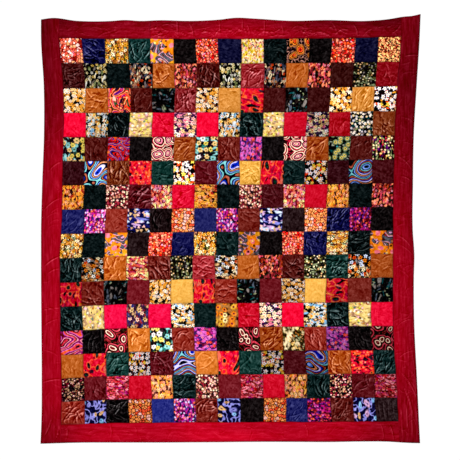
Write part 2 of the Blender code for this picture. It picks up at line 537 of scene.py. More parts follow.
class Finish:
    """A material being made, with the readings that its colour and relief are worked out from."""

    def __init__(self, name, inks):
        self.material = bpy.data.materials.new(name)
        self.material.use_nodes = True
        self.nodes = self.material.node_tree.nodes
        self.shader = self.nodes["Principled BSDF"]
        self.inks = inks

    def add(self, kind, settings=None, values=None, output=0):
        """Adds a node: its settings first, then the values or links of its sockets."""
        node = self.nodes.new(kind)
        for name, setting in (settings or {}).items():
            if name == "stops":
                self.set_stops(node.color_ramp, setting)
            else:
                setattr(node, name, setting)
        for name, value in (values or {}).items():
            self.feed(node.inputs[name], value)
        return Reading(self, node.outputs[output])

    def feed(self, socket, value):
        """Links a reading to a socket, or sets the value of the socket."""
        if isinstance(value, Reading):
            self.material.node_tree.links.new(value.socket, socket)
        else:
            socket.default_value = value

    def set_stops(self, ramp, colours):
        """Even steps of these colours."""
        ramp.interpolation = "CONSTANT"
        while len(ramp.elements) < len(colours):
            ramp.elements.new(0.5)
        for index, colour in enumerate(colours):
            ramp.elements[index].position = index / len(colours)
            ramp.elements[index].color = (*colour, 1.0)

    def ink(self, name):
        """The colour of an ink."""
        return tuple(getattr(self.inks, name))

    def steps(self, reading, names):
        """The ink that a reading from 0 to 1 picks out of these."""
        return self.add("ShaderNodeValToRGB", {"stops": [self.ink(name) for name in names.split()]},
                        {0: reading})

    def blend(self, share, first, second):
        """The first colour where share is 0, and the second where it is 1."""
        values = {0: share, 6: first, 7: second}
        for key in (6, 7):
            if isinstance(values[key], tuple):
                values[key] = (*values[key], 1.0)
        return self.add("ShaderNodeMix", {"data_type": "RGBA"}, values, 2)

    def power(self, colour, exponent):
        """A colour, each part of it raised to this power."""
        return self.add("ShaderNodeGamma", {}, {0: colour, 1: exponent})

    def attribute(self, name, output="Fac"):
        """What the mesh stores under a name."""
        return self.add("ShaderNodeAttribute", {"attribute_name": name}, {}, output)

    def noise(self, where, detail=2.0, roughness=0.5, output=0):
        """Soft noise from 0 to 1 over the places."""
        values = {"Vector": where, "Scale": 1.0, "Detail": detail, "Roughness": roughness}
        return self.add("ShaderNodeTexNoise", {"noise_dimensions": "2D"}, values, output)

    def cloth_place(self, spacing, seed=0.0, stretch=1.0, warp=0.0):
        """The place on the cut cloth, in steps of spacing millimetres, turned by seed, then
        stretched one way and swirled by warp of those steps."""
        step = MM * spacing
        values = {"Vector": self.attribute("cloth_place", "Vector"), "Location": (seed, seed * 1.7, 0.0)}
        values.update({"Rotation": (0.0, 0.0, seed), "Scale": (step, step * stretch, 1.0)})
        where = self.add("ShaderNodeMapping", {"vector_type": "TEXTURE"}, values)
        if warp:
            swirl = self.noise(where.vector("MULTIPLY", (0.6, 0.6, 0.0)), 1.0, output=1)
            shift = swirl.vector("MULTIPLY_ADD", (warp, warp, 0.0), (-warp / 2, -warp / 2, 0.0))
            where = where.vector("ADD", shift)
        return where


# The motifs of the prints. Each is printed over what is under it, and its sizes are in millimetres.

def edge_mask(distance, reach, soft):
    """1 where a distance is within reach, with a soft edge."""
    return ((reach - distance) / soft + 0.5).clamped()


def florets(finish, under, spacing, inks, fill=0.4, petals=0, notch=0.25, centre="", share=1.0,
            stretch=1.0, warp=0.4, seed=0.0, soft=0.12):
    """Scattered small flowers, dots or leaves, each in one of the inks, some with a centre."""
    where = finish.cloth_place(spacing, seed, stretch, warp)
    near = finish.add("ShaderNodeTexVoronoi", {"voronoi_dimensions": "2D"},
                      {"Vector": where, "Scale": 1.0, "Randomness": 0.85}, "Distance")
    chance, size = near.other("Color").parts()
    reach = fill * (0.8 + size * 0.4)
    if petals:
        x, y = where.vector("SUBTRACT", near.other("Position")).parts()
        turn = y.maths("ARCTAN2", x) * petals + chance * math.tau
        reach = reach * (1.0 - notch + turn.maths("COSINE") * notch)
    inside = edge_mask(near, reach, soft)
    if share < 1.0:
        inside = inside * (size < share)
    flower = finish.steps(chance, inks).scaled(1.15 - near * (0.34 / fill))
    if centre:
        flower = finish.blend(edge_mask(near, fill * 0.32, soft), flower, finish.ink(centre))
    return finish.blend(inside, under, flower)


def leaves(finish, under, spacing, inks, fill=0.36, stretch=2.0, warp=2.0, share=1.0, seed=3.0):
    """Long leaves that turn with the swirl of the print."""
    return florets(finish, under, spacing, inks, fill, share=share, stretch=stretch, warp=warp, seed=seed)


def pebbles(finish, under, spacing, inks, gap=0.07, stretch=1.0, warp=0.4, seed=0.0, soft=0.07):
    """Close-set pebbles, each in one of the inks, with the cloth under them showing between."""
    where = finish.cloth_place(spacing, seed, stretch, warp)
    values = {"Vector": where, "Scale": 1.0, "Randomness": 0.9}
    near = finish.add("ShaderNodeTexVoronoi", {"voronoi_dimensions": "2D"}, values, "Color")
    to_edge = {"voronoi_dimensions": "2D", "feature": "DISTANCE_TO_EDGE"}
    edge = finish.add("ShaderNodeTexVoronoi", to_edge, values, "Distance")
    chance, _ = near.parts()
    return finish.blend(((edge - gap) / soft + 0.5).clamped(), under, finish.steps(chance, inks))


def contours(finish, under, spacing, inks, bands=3.0, stretch=1.0, warp=0.0, seed=0.0):
    """Nested bands that wind over the whole cloth, as in cut agate."""
    level = finish.noise(finish.cloth_place(spacing, seed, stretch, warp), 0.0)
    return finish.steps((level * bands).maths("FRACT"), inks)


def rings(finish, under, spacing, inks, fill=0.62, stretch=1.0, warp=0.5, seed=0.0):
    """Pebbles with nested outlines, from the middle out."""
    where = finish.cloth_place(spacing, seed, stretch, warp)
    near = finish.add("ShaderNodeTexVoronoi", {"voronoi_dimensions": "2D"},
                      {"Vector": where, "Scale": 1.0, "Randomness": 0.75}, "Distance")
    return finish.blend(edge_mask(near, fill, 0.05), under, finish.steps(near / fill, inks))


def vines(finish, under, spacing, ink, width=0.03, stretch=1.0, warp=0.0, seed=0.0):
    """Thin winding lines."""
    level = finish.noise(finish.cloth_place(spacing, seed, stretch, warp), 1.0)
    return finish.blend(edge_mask(abs(level - 0.5), width, width * 0.6), under, finish.ink(ink))


def clouds(finish, under, spacing, ink, share=0.5, stretch=1.0, warp=0.0, seed=0.0):
    """Soft patches of another ink over part of the cloth."""
    level = finish.noise(finish.cloth_place(spacing, seed, stretch, warp), 2.0)
    return finish.blend(((level - 1.0 + share) / 0.12 + 0.5).clamped(), under, finish.ink(ink))


# The share of light for each mark in the chart.
PILE_LIGHT = {"--": 0.56, "-": 0.75, "": 1.0, "+": 1.25, "++": 1.55}

# The margin around each panel of a map for baking, as a share of the map.
BAKE_MARGIN = 0.008

# How strongly painted light and shade show in the colour as it is seen, from 0 to 1: the painted
# highlight and shade of the crushed pile along creases, and painted sheen in long streaks. Then how
# strong the mottling of a plain and of a printed velvet is.
CRUSH_SHADE = 0.25
STREAK_SHADE = 0.2
MOTTLE = 0.24
PRINT_MOTTLE = 0.5
BORDER_MOTTLE = 0.14
# The spacing in millimetres, the seed and the stretch of the streaks and of the mottling, on the
# patches and then on the border, where they run lengthwise.
STREAK = (24, 1.0, 2.2)
GRAIN = (12, 6.0, 1.6)
BORDER_STREAK = (14, 1.57, 8.0)
BORDER_GRAIN = (8, 4.71, 9.0)
# How far a painted seam shadow darkens the cloth, and between what limits the painted highlight and shade
# of the crushed pile are kept.
SEAM_SHADE = 0.45
CRUSH_LIMITS = (-0.9, 1.7)
# The velvet's surface: the spacing of its pile in millimetres, how much the pile and the streaks
# show in its relief, the relief's strength and its depth in metres, how rough it is and how much
# smoother on a crest, its gloss, and how strong, how rough and how pale its sheen is.
PILE_SPACING = 0.9
PILE_RELIEF = 0.12
STREAK_RELIEF = 0.3
RELIEF_STRENGTH = 0.45
RELIEF_DEPTH = 0.0015
ROUGHNESS = 0.88
CREST_SMOOTHNESS = 0.2
GLOSS = 0.01
SHEEN = 0.08
SHEEN_ROUGHNESS = 0.35
SHEEN_PALENESS = 0.6
# The spacing in millimetres of the flecks of a plain velvet, and how light they are at the least and
# at the most.
FLECK_SPACING = 5
FLECKS = (0.86, 1.14)
# The same for the threads of the plain weave on the wrong side.
THREAD_SPACING = 1.1
THREADS = (0.8, 1.2)
# The power between a colour as it is seen and the light that it sends back.
SEEN_POWER = 2.2
# The shade, as it is seen, that a print's contrast leaves as it is.
MIDDLE_GREY = 0.42

# The printed velvets: the ink of the ground, how much more the inks stand out than they are mixed,
# how far the whole print is lifted in red, green and blue, and the motifs printed on it in turn:
# how each is drawn, its spacing in millimetres, its inks and its further settings.
PRINTS = {
    "coral": ("maroon", 1.45, (-20, 0, 10), (
        (pebbles, 17, "salmon blush coral peach salmon coral brick", {"gap": 0.1}),
        (florets, 21, "white pink blush", {"fill": 0.28, "petals": 5, "share": 0.65, "seed": 5}),
    )),
    "ember": ("maroon", 1.6, (-30, 25, 35), (
        (pebbles, 15, "flame coral tangerine salmon coral brick", {"gap": 0.12}),
        (florets, 18, "salmon peach pink", {"fill": 0.24, "share": 0.55, "seed": 5}),
    )),
    "gold": ("brown", 1.5, (-10, 0, 15), (
        (leaves, 12, "ochre sage olive fawn ochre", {"fill": 0.46}),
        (florets, 22, "gold butter cream gold ochre", {"fill": 0.47, "petals": 5, "centre": "brown"}),
        (florets, 15, "butter cream gold", {"fill": 0.2, "share": 0.6, "seed": 6}),
    )),
    "primrose": ("cream", 1.5, (-55, -55, -30), (
        (clouds, 20, "lemon", {"share": 0.5}),
        (leaves, 12, "ochre gold brown sage ochre", {"fill": 0.36, "share": 0.75}),
        (florets, 24, "lemon cream butter blush cream", {"fill": 0.42, "petals": 5, "centre": "gold"}),
    )),
    "bloom": ("brown", 1.25, (0, -5, -10), (
        (contours, 50, "slate brown lilac fawn brown slate", {"bands": 4, "warp": 1.0}),
        (florets, 92, "amber gold amber gold amber", {"fill": 0.5, "petals": 5, "notch": 0.2,
         "centre": "pink", "soft": 0.03}),
        (florets, 34, "rose brick butter cocoa", {"fill": 0.2, "share": 0.35, "seed": 8}),
    )),
    "paisley": ("cocoa", 1.4, (-15, -5, 20), (
        (vines, 20, "fawn", {"width": 0.05}),
        (rings, 46, "brick orange cocoa amber brown ochre cocoa", {"fill": 0.46, "stretch": 1.4,
         "warp": 1.2}),
    )),
    "squiggle": ("peach", 1.3, (0, 0, 5), (
        (clouds, 18, "butter", {"share": 0.5}),
        (vines, 17, "brick", {"width": 0.06, "stretch": 1.6}),
        (vines, 15, "cocoa", {"width": 0.05, "stretch": 1.8, "seed": 4}),
    )),
    "hedge": ("black", 1.2, (-20, -20, -25), (
        (leaves, 16, "cream moss sage grey white sage", {"fill": 0.34}),
        (florets, 22, "cream white sage butter cream", {"fill": 0.42, "petals": 5, "centre": "olive",
         "share": 0.8}),
    )),
    "olive": ("black", 1.15, (0, 0, 0), (
        (leaves, 13, "moss olive soot sage moss", {"fill": 0.34}),
        (florets, 16, "sage sand grey cream", {"fill": 0.3, "share": 0.7, "seed": 6}),
    )),
    "wildflower": ("black", 1.15, (-8, -12, -8), (
        (leaves, 13, "slate fawn brown grey soot cream", {"fill": 0.42}),
        (florets, 24, "orange sand slate fawn cream", {"fill": 0.38, "petals": 5, "centre": "brick",
         "share": 0.75}),
    )),
    "claret_sprig": ("cocoa", 1.4, (-10, 25, 20), (
        (leaves, 13, "claret rose brick salmon claret", {"fill": 0.46}),
        (florets, 19, "rose salmon claret pink coral", {"fill": 0.36, "petals": 5, "centre": "maroon",
         "share": 0.8}),
    )),
    "butter": ("black", 1.5, (-40, -30, 15), (
        (leaves, 16, "ochre gold brown gold", {"fill": 0.44, "seed": 9}),
        (florets, 20, "cream butter gold cream butter", {"fill": 0.58, "petals": 5, "notch": 0.22,
         "centre": "gold"}),
    )),
    "flame": ("flame", 1.35, (0, 10, 5), (
        (contours, 66, "flame violet salmon maroon forest red peach maroon coral", {"bands": 3.4,
         "warp": 1.4}),
        (leaves, 24, "peach coral forest blush aubergine", {"share": 0.6}),
    )),
    "poppy": ("red", 1.4, (-45, 20, 30), (
        (vines, 60, "tangerine", {"width": 0.03, "seed": 4}),
        (leaves, 26, "maroon crimson flame coral cocoa crimson", {"fill": 0.34, "share": 0.8}),
        (rings, 74, "black moss black maroon crimson orange red", {"fill": 0.3, "stretch": 1.3,
         "warp": 1.4}),
    )),
    "poppy_small": ("red", 1.6, (-50, 40, 45), (
        (leaves, 17, "crimson tangerine maroon flame", {"fill": 0.42}),
        (florets, 28, "flame red tangerine", {"fill": 0.42, "petals": 5, "centre": "coral"}),
        (florets, 22, "maroon moss salmon cocoa", {"fill": 0.22, "share": 0.4, "seed": 8}),
    )),
    "night_leaf": ("black", 1.05, (-10, -10, -10), (
        (leaves, 21, "slate teal grey bottle black soot", {"fill": 0.33}),
        (leaves, 16, "soot slate sage teal black", {"fill": 0.24, "share": 0.65, "seed": 8}),
    )),
    "snow": ("black", 1.25, (-15, -20, -5), (
        (leaves, 16, "gold orange brown sand cocoa", {"fill": 0.36}),
        (florets, 25, "white white cream white lemon white", {"fill": 0.48, "petals": 5,
         "centre": "gold"}),
    )),
    "harbour": ("black", 1.2, (-5, -5, -15), (
        (leaves, 19, "mist sky fawn sand", {"fill": 0.42}),
        (florets, 28, "sand cream white mist butter", {"fill": 0.47, "petals": 6, "centre": "amber"}),
        (florets, 21, "black amber black cream", {"fill": 0.22, "share": 0.6, "seed": 6}),
    )),
    "sunbird": ("black", 1.3, (-10, -5, 0), (
        (leaves, 16, "grey sand fawn soot", {"fill": 0.42}),
        (florets, 27, "cream orange white amber mist", {"fill": 0.44, "petals": 5, "centre": "brown"}),
        (florets, 18, "black brown", {"fill": 0.22, "share": 0.5, "seed": 6}),
    )),
    "primula": ("sand", 1.65, (-80, -55, -12), (
        (clouds, 22, "butter", {"share": 0.55, "stretch": 1.6}),
        (leaves, 15, "ochre sage gold brown", {"fill": 0.27, "share": 0.6}),
        (florets, 24, "cream lemon blush butter", {"fill": 0.36, "petals": 5, "share": 0.8}),
    )),
    "pansy": ("aubergine", 1.15, (0, 5, 10), (
        (leaves, 15, "fawn pink soot cream fawn", {}),
        (florets, 26, "cream blush butter white pink", {"fill": 0.48, "petals": 5, "centre": "rose"}),
    )),
    "pansy_dark": ("aubergine", 1.3, (20, 30, 20), (
        (leaves, 15, "indigo fawn soot claret", {"fill": 0.4}),
        (florets, 34, "sand blush fawn sand", {"fill": 0.42, "petals": 6, "centre": "brown",
         "share": 0.85}),
    )),
    "frost": ("black", 1.35, (-10, -15, -15), (
        (leaves, 13, "sage grey teal soot", {"fill": 0.32}),
        (florets, 20, "white cream mist white", {"fill": 0.4, "petals": 5, "centre": "sand"}),
    )),
    "lagoon": ("black", 1.15, (10, 0, 10), (
        (leaves, 18, "aqua jade soot forest", {"fill": 0.4}),
        (florets, 36, "lemon butter white aqua lemon", {"fill": 0.44, "petals": 6, "notch": 0.14,
         "centre": "leaf"}),
    )),
    "pond": ("black", 1.4, (-10, -15, 15), (
        (leaves, 18, "forest moss sage jade", {"fill": 0.3}),
        (rings, 40, "sage bottle lemon olive sage leaf moss", {"fill": 0.48, "warp": 0.0}),
    )),
    "ember_violet": ("violet", 1.8, (-90, 50, 25), (
        (contours, 52, "violet claret red aubergine flame indigo magenta coral", {"bands": 3.5,
         "warp": 1.2}),
        (florets, 44, "tangerine red", {"fill": 0.3, "petals": 6, "share": 0.6}),
    )),
    "violet": ("aubergine", 1.15, (-5, 10, 25), (
        (leaves, 15, "magenta orchid violet orchid claret", {"fill": 0.46}),
        (florets, 25, "orchid magenta tangerine pink orchid", {"fill": 0.42, "petals": 5,
         "centre": "flame"}),
    )),
    "ogee": ("magenta", 1.7, (-60, 10, -5), (
        (contours, 92, "claret orchid coral rose aubergine pink magenta", {"bands": 3.2,
         "stretch": 0.6}),
    )),
    "agate": ("maroon", 1.7, (-45, 5, 0), (
        (vines, 24, "rose", {"width": 0.05}),
        (rings, 60, "rose blush maroon pink claret cocoa blush rose maroon blush", {"fill": 0.6,
         "warp": 0.9}),
    )),
    "agate_dark": ("cocoa", 1.35, (-10, 15, 8), (
        (vines, 30, "claret", {"width": 0.05}),
        (rings, 60, "claret maroon blush cocoa maroon rose cocoa", {"fill": 0.56, "warp": 0.9}),
    )),
    "contour": ("navy", 1.45, (-25, -47, -27), (
        (contours, 104, "black blue mist navy sand black sky indigo aqua navy fawn", {"bands": 3.0,
         "warp": 0.5}),
    )),
    "pebble_gold": ("cocoa", 1.35, (0, 10, 25), (
        (leaves, 14, "ochre amber brick gold", {"fill": 0.5}),
        (florets, 19, "amber gold peach amber ochre", {"fill": 0.46, "petals": 5, "centre": "brown"}),
    )),
    "speckle": ("black", 1.2, (25, 15, 20), (
        (leaves, 12, "claret brown fawn cocoa", {"fill": 0.42, "seed": 7}),
        (florets, 15, "blush claret cream fawn blush", {"fill": 0.42, "petals": 5}),
    )),
    "speckle_dark": ("black", 1.25, (0, 5, 15), (
        (leaves, 12, "cocoa claret brown fawn", {"fill": 0.38, "seed": 7}),
        (florets, 15, "blush claret fawn sand", {"fill": 0.36, "petals": 5, "share": 0.75}),
    )),
    "sherbet": ("claret", 1.5, (-40, 10, 20), (
        (leaves, 12, "coral rose butter brick salmon", {"fill": 0.46}),
        (florets, 19, "salmon butter pink peach coral blush", {"fill": 0.46, "petals": 5,
         "centre": "brick"}),
    )),
    "rosebud": ("maroon", 1.15, (-5, 5, 0), (
        (leaves, 10, "rose claret pink crimson rose magenta", {"fill": 0.48}),
        (florets, 13, "rose pink coral crimson", {"fill": 0.32, "petals": 5, "centre": "maroon",
         "share": 0.8}),
    )),
    "marigold": ("brown", 1.25, (5, 5, 20), (
        (leaves, 14, "ochre fawn gold brown amber", {"fill": 0.46}),
        (florets, 23, "gold butter amber peach", {"fill": 0.46, "petals": 6, "centre": "rose"}),
    )),
    "magenta": ("aubergine", 1.5, (-10, 32, 20), (
        (leaves, 13, "magenta violet claret orchid", {"fill": 0.46}),
        (florets, 17, "orchid magenta pink lilac coral magenta", {"fill": 0.42, "petals": 5}),
    )),
    "berry": ("aubergine", 1.3, (-5, 10, 5), (
        (leaves, 12, "claret violet maroon magenta", {"fill": 0.42}),
        (florets, 17, "rose magenta coral claret orchid", {"fill": 0.38, "petals": 5}),
    )),
    "periwinkle": ("navy", 1.25, (0, 5, 10), (
        (leaves, 25, "periwinkle mist indigo lilac black", {"fill": 0.38}),
        (florets, 28, "mist blush lilac sand", {"fill": 0.34, "petals": 3, "seed": 8}),
    )),
    "scroll": ("navy", 1.3, (5, 5, -5), (
        (vines, 44, "periwinkle", {"width": 0.045}),
        (florets, 42, "lilac sky sand periwinkle", {"fill": 0.25, "stretch": 1.5, "warp": 1.2,
         "centre": "indigo"}),
    )),
    "peach": ("brown", 1.7, (-55, -32, -22), (
        (pebbles, 17, "peach blush peach salmon peach", {"gap": 0.1, "warp": 0.9}),
        (florets, 13, "brick brown coral", {"fill": 0.22, "share": 0.6, "seed": 5}),
    )),
    "confetti": ("black", 1.35, (-5, -5, -10), (
        (leaves, 13, "brown sage violet fawn", {"fill": 0.38}),
        (florets, 17, "butter rose cream sage blush", {"fill": 0.4, "petals": 5, "share": 0.85}),
    )),
    "daisy": ("brown", 1.7, (-60, -15, 30), (
        (clouds, 36, "ochre", {"share": 0.6}),
        (florets, 36, "butter amber gold amber", {"fill": 0.5, "petals": 9, "notch": 0.12,
         "centre": "claret"}),
    )),
    "thicket": ("moss", 1.2, (-10, -15, -15), (
        (leaves, 13, "olive sand cocoa sage", {}),
        (clouds, 60, "cream", {"share": 0.45, "stretch": 0.7}),
        (leaves, 12, "brown moss butter ochre", {"share": 0.7, "seed": 8}),
    )),
}


def velvet(finish, colour, dye, contrast=1.0, lift=(0, 0, 0), mottle=MOTTLE, streak=STREAK, grain=GRAIN):
    """Gives a finish the look of velvet in this colour, with painted light and shade: painted sheen in
    soft streaks, a painted highlight on the crest of a crease and painted shade beside it, and painted
    shadow at the seams.

    Contrast and lift, from 0 to 255, are for the colour as it is seen, and so are the painted highlights
    and shades."""
    streaks = finish.noise(finish.cloth_place(*streak), 4.0, 0.6) - 0.5
    mottled = finish.noise(finish.cloth_place(*grain), 2.0, 0.6) - 0.5
    # The tone of each patch, or on the border its painted light and shade and the painted shadow of its
    # turned edge, then the painted seam shadow.
    shade = finish.attribute("tone") * (1.0 - finish.attribute("seam") * SEAM_SHADE)
    seen = finish.power(colour.scaled(shade), 1 / SEEN_POWER)
    if contrast != 1.0 or any(lift):
        steady = tuple(part / 255 + (1 - contrast) * MIDDLE_GREY for part in lift)
        seen = seen.vector("MULTIPLY_ADD", (contrast,) * 3, steady)
    # The crushed pile's painted highlight on crests and painted shade in troughs, painted sheen in
    # streaks, and the mottling shift the colour as it is seen.
    crush = finish.attribute("crush").maths("MINIMUM", CRUSH_LIMITS[1]).maths("MAXIMUM", CRUSH_LIMITS[0])
    sheen_and_mottle = crush * CRUSH_SHADE + streaks * STREAK_SHADE + mottled * mottle
    seen = seen.vector("ADD", sheen_and_mottle).vector("MAXIMUM", (0.0, 0.0, 0.0))
    pile = finish.noise(finish.cloth_place(PILE_SPACING, 2.0), 2.0)
    height = pile * PILE_RELIEF + streaks * STREAK_RELIEF
    relief = finish.add("ShaderNodeBump", {}, {"Height": height, "Strength": RELIEF_STRENGTH,
                                               "Distance": RELIEF_DEPTH})
    finish.feed(finish.shader.inputs["Base Color"], finish.power(seen, SEEN_POWER))
    finish.feed(finish.shader.inputs["Roughness"], ROUGHNESS - crush.clamped() * CREST_SMOOTHNESS)
    finish.feed(finish.shader.inputs["Normal"], relief)
    finish.shader.inputs["Specular IOR Level"].default_value = GLOSS
    finish.shader.inputs["Sheen Weight"].default_value = SHEEN
    finish.shader.inputs["Sheen Roughness"].default_value = SHEEN_ROUGHNESS
    finish.shader.inputs["Sheen Tint"].default_value = (*(part**SHEEN_PALENESS for part in dye), 1.0)
    return finish.material


def shades(dye, amounts):
    """A colour made darker or lighter by each of these amounts."""
    return (tuple(part * amount for part in dye) for amount in amounts)


def plain_velvet(name):
    """A velvet dyed in one colour."""
    finish = Finish(f"velvet_{name}", bpy.context.scene.quilt_inks)
    dye = tuple(getattr(bpy.context.scene.quilt_colours, name))
    fleck = finish.noise(finish.cloth_place(FLECK_SPACING, 7.0), 3.0)
    colour = finish.blend(fleck, *shades(dye, FLECKS))
    if name == "border_crimson":
        return velvet(finish, colour, dye, mottle=BORDER_MOTTLE, streak=BORDER_STREAK, grain=BORDER_GRAIN)
    return velvet(finish, colour, dye)


def printed_velvet(name):
    """A velvet printed with motifs."""
    finish = Finish(f"velvet_{name}", bpy.context.scene.quilt_inks)
    ground, contrast, lift, motifs = PRINTS[name]
    colour = finish.blend(0.0, finish.ink(ground), finish.ink(ground))
    for motif, spacing, inks, settings in motifs:
        colour = motif(finish, colour, spacing, inks, **settings)
    return velvet(finish, colour, finish.ink(ground), contrast, lift, PRINT_MOTTLE)


def woven_back():
    """The wrong side of the velvets: a plain weave."""
    finish = Finish("velvet_wrong_side", bpy.context.scene.quilt_inks)
    dye = tuple(bpy.context.scene.quilt_colours.wrong_side)
    x, y = finish.cloth_place(THREAD_SPACING).vector("MULTIPLY", (math.tau, math.tau, 0.0)).parts()
    threads = x.maths("SINE") * y.maths("SINE") * 0.5 + 0.5
    colour = finish.blend(threads, *shades(dye, THREADS))
    relief = finish.add("ShaderNodeBump", {}, {"Height": threads, "Strength": 0.3, "Distance": 0.0003})
    finish.feed(finish.shader.inputs["Base Color"], colour)
    finish.feed(finish.shader.inputs["Normal"], relief)
    finish.shader.inputs["Roughness"].default_value = 0.9
    finish.shader.inputs["Specular IOR Level"].default_value = 0.15
    return finish.material


def cloth_material(name):
    """The material of a velvet, made the first time that it is asked for."""
    made = bpy.data.materials.get(f"velvet_{name}")
    if made:
        return made
    if name == "wrong_side":
        return woven_back()
    return printed_velvet(name) if name in PRINTS else plain_velvet(name)


# Meshes

def cloth_mesh(name, columns, rows):
    """A closed grid with a flat underside, and where its points lie in the lists of positions.

    Returns the mesh, each point's column and row index, and whether it is on the face."""
    cloth = bmesh.new()
    bmesh.ops.create_grid(cloth, x_segments=len(columns) - 1, y_segments=len(rows) - 1, size=0.5)
    rim = [edge for edge in cloth.edges if edge.is_boundary]
    wall = bmesh.ops.extrude_edge_only(cloth, edges=rim)["geom"]
    for vert in (part for part in wall if isinstance(part, bmesh.types.BMVert)):
        vert.co.z = -1.0
    lower = [part for part in wall if isinstance(part, bmesh.types.BMEdge) and part.is_boundary]
    bmesh.ops.contextual_create(cloth, geom=lower)
    bmesh.ops.recalc_face_normals(cloth, faces=cloth.faces[:])
    mesh = bpy.data.meshes.new(name)
    cloth.to_mesh(mesh)
    cloth.free()
    points = np.empty(len(mesh.vertices) * 3)
    mesh.vertices.foreach_get("co", points)
    points = points.reshape(-1, 3)
    i = np.rint((points[:, 0] + 0.5) * (len(columns) - 1)).astype(int)
    j = np.rint((0.5 - points[:, 1]) * (len(rows) - 1)).astype(int)
    return mesh, i, j, points[:, 2] > -0.5


def set_attribute(mesh, name, kind, domain, values):
    """Stores a value for each point or corner of a mesh."""
    layer = mesh.attributes.new(name, kind, domain)
    field = "vector" if kind == "FLOAT_VECTOR" else "value"
    layer.data.foreach_set(field, np.ascontiguousarray(values, float).ravel())


def corner_facts(mesh):
    """Each corner's point and face, and each face's first corner."""
    points = np.empty(len(mesh.loops), int)
    starts = np.empty(len(mesh.polygons), int)
    counts = np.empty(len(mesh.polygons), int)
    mesh.loops.foreach_get("vertex_index", points)
    mesh.polygons.foreach_get("loop_start", starts)
    mesh.polygons.foreach_get("loop_total", counts)
    return points, np.repeat(np.arange(len(counts)), counts), starts


def lay_bake_map(mesh, panel, wide, high, s, t, on_wall):
    """A map for baking in panels, wide across and high up, given each corner's panel and its place
    there from 0 to 1. Corners at the foot of a wall lie in the margin around their panel."""
    margins = np.array([BAKE_MARGIN * wide, BAKE_MARGIN * high])
    at = np.stack([s, t], 1)
    push = (np.sign(np.rint(at * 2 - 1)) * (np.abs(at * 2 - 1) > 0.999)) * on_wall[:, None]
    spot = margins + at * (1 - 2 * margins) + push * margins * 0.7
    corner = np.stack([panel % wide, panel // wide], 1)
    layer = mesh.uv_layers.new(name="OFBake")
    layer.uv.foreach_set("vector", ((corner + spot) / (wide, high)).ravel())


def crease_line(x0, y0, x1, y1, bend):
    """Points along a bent line, whose middle lies bend of its length to its left."""
    t = np.linspace(0, 1, 9)
    sag = 4 * t * (1 - t) * bend
    return np.stack([x0 + (x1 - x0) * t - (y1 - y0) * sag, y0 + (y1 - y0) * t + (x1 - x0) * sag], 1)


# A crease, in its own widths: how far away it is still worked out, and where its trough lies. Then how
# deep the trough is and how dark its painted shade is, how much sharper the crest's painted highlight is
# than its rise in the cloth, and the power with which the crease fades towards its ends.
CREASE_EXTENT = 4
CREASE_TROUGH = 1.7
CREASE_DEPTH = 0.5
CREASE_SHADE = 0.7
CREST_SHARPNESS = 1.3
CREASE_FADE = 0.6


def lay_crease(x, y, line, width, strength, rise, crush):
    """Adds one crease along a line to the heights of the points at x and y and to the painted highlight
    and shade of their crushed pile: a soft ridge with a trough along one side, which fade out at its
    ends."""
    low, high = line.min(0) - CREASE_EXTENT * width, line.max(0) + CREASE_EXTENT * width
    near = np.flatnonzero((x > low[0]) & (x < high[0]) & (y > low[1]) & (y < high[1]))
    if not len(near):
        return
    start, step = line[:-1], line[1:] - line[:-1]
    to = np.stack([x[near], y[near]], 1)[:, None] - start
    t = np.clip((to * step).sum(2) / (step**2).sum(1), 0, 1)
    gap = to - step * t[..., None]
    away = np.hypot(gap[..., 0], gap[..., 1])
    nearest = away.argmin(1)
    pick = np.arange(len(near)), nearest
    side = np.sign(step[nearest, 0] * gap[pick][:, 1] - step[nearest, 1] * gap[pick][:, 0])
    far = away[pick] * side / width
    fade = np.sin(np.pi * np.clip((nearest + t[pick]) / len(step), 0, 1)) ** CREASE_FADE * strength
    ridge, trough = np.exp(-(far**2)), np.exp(-((far - CREASE_TROUGH) ** 2))
    rise[near] += (ridge - CREASE_DEPTH * trough) * fade
    # Painted highlight on the crest and painted shade in the trough.
    crush[near] += (np.exp(-((far * CREST_SHARPNESS) ** 2)) - CREASE_SHADE * trough) * fade


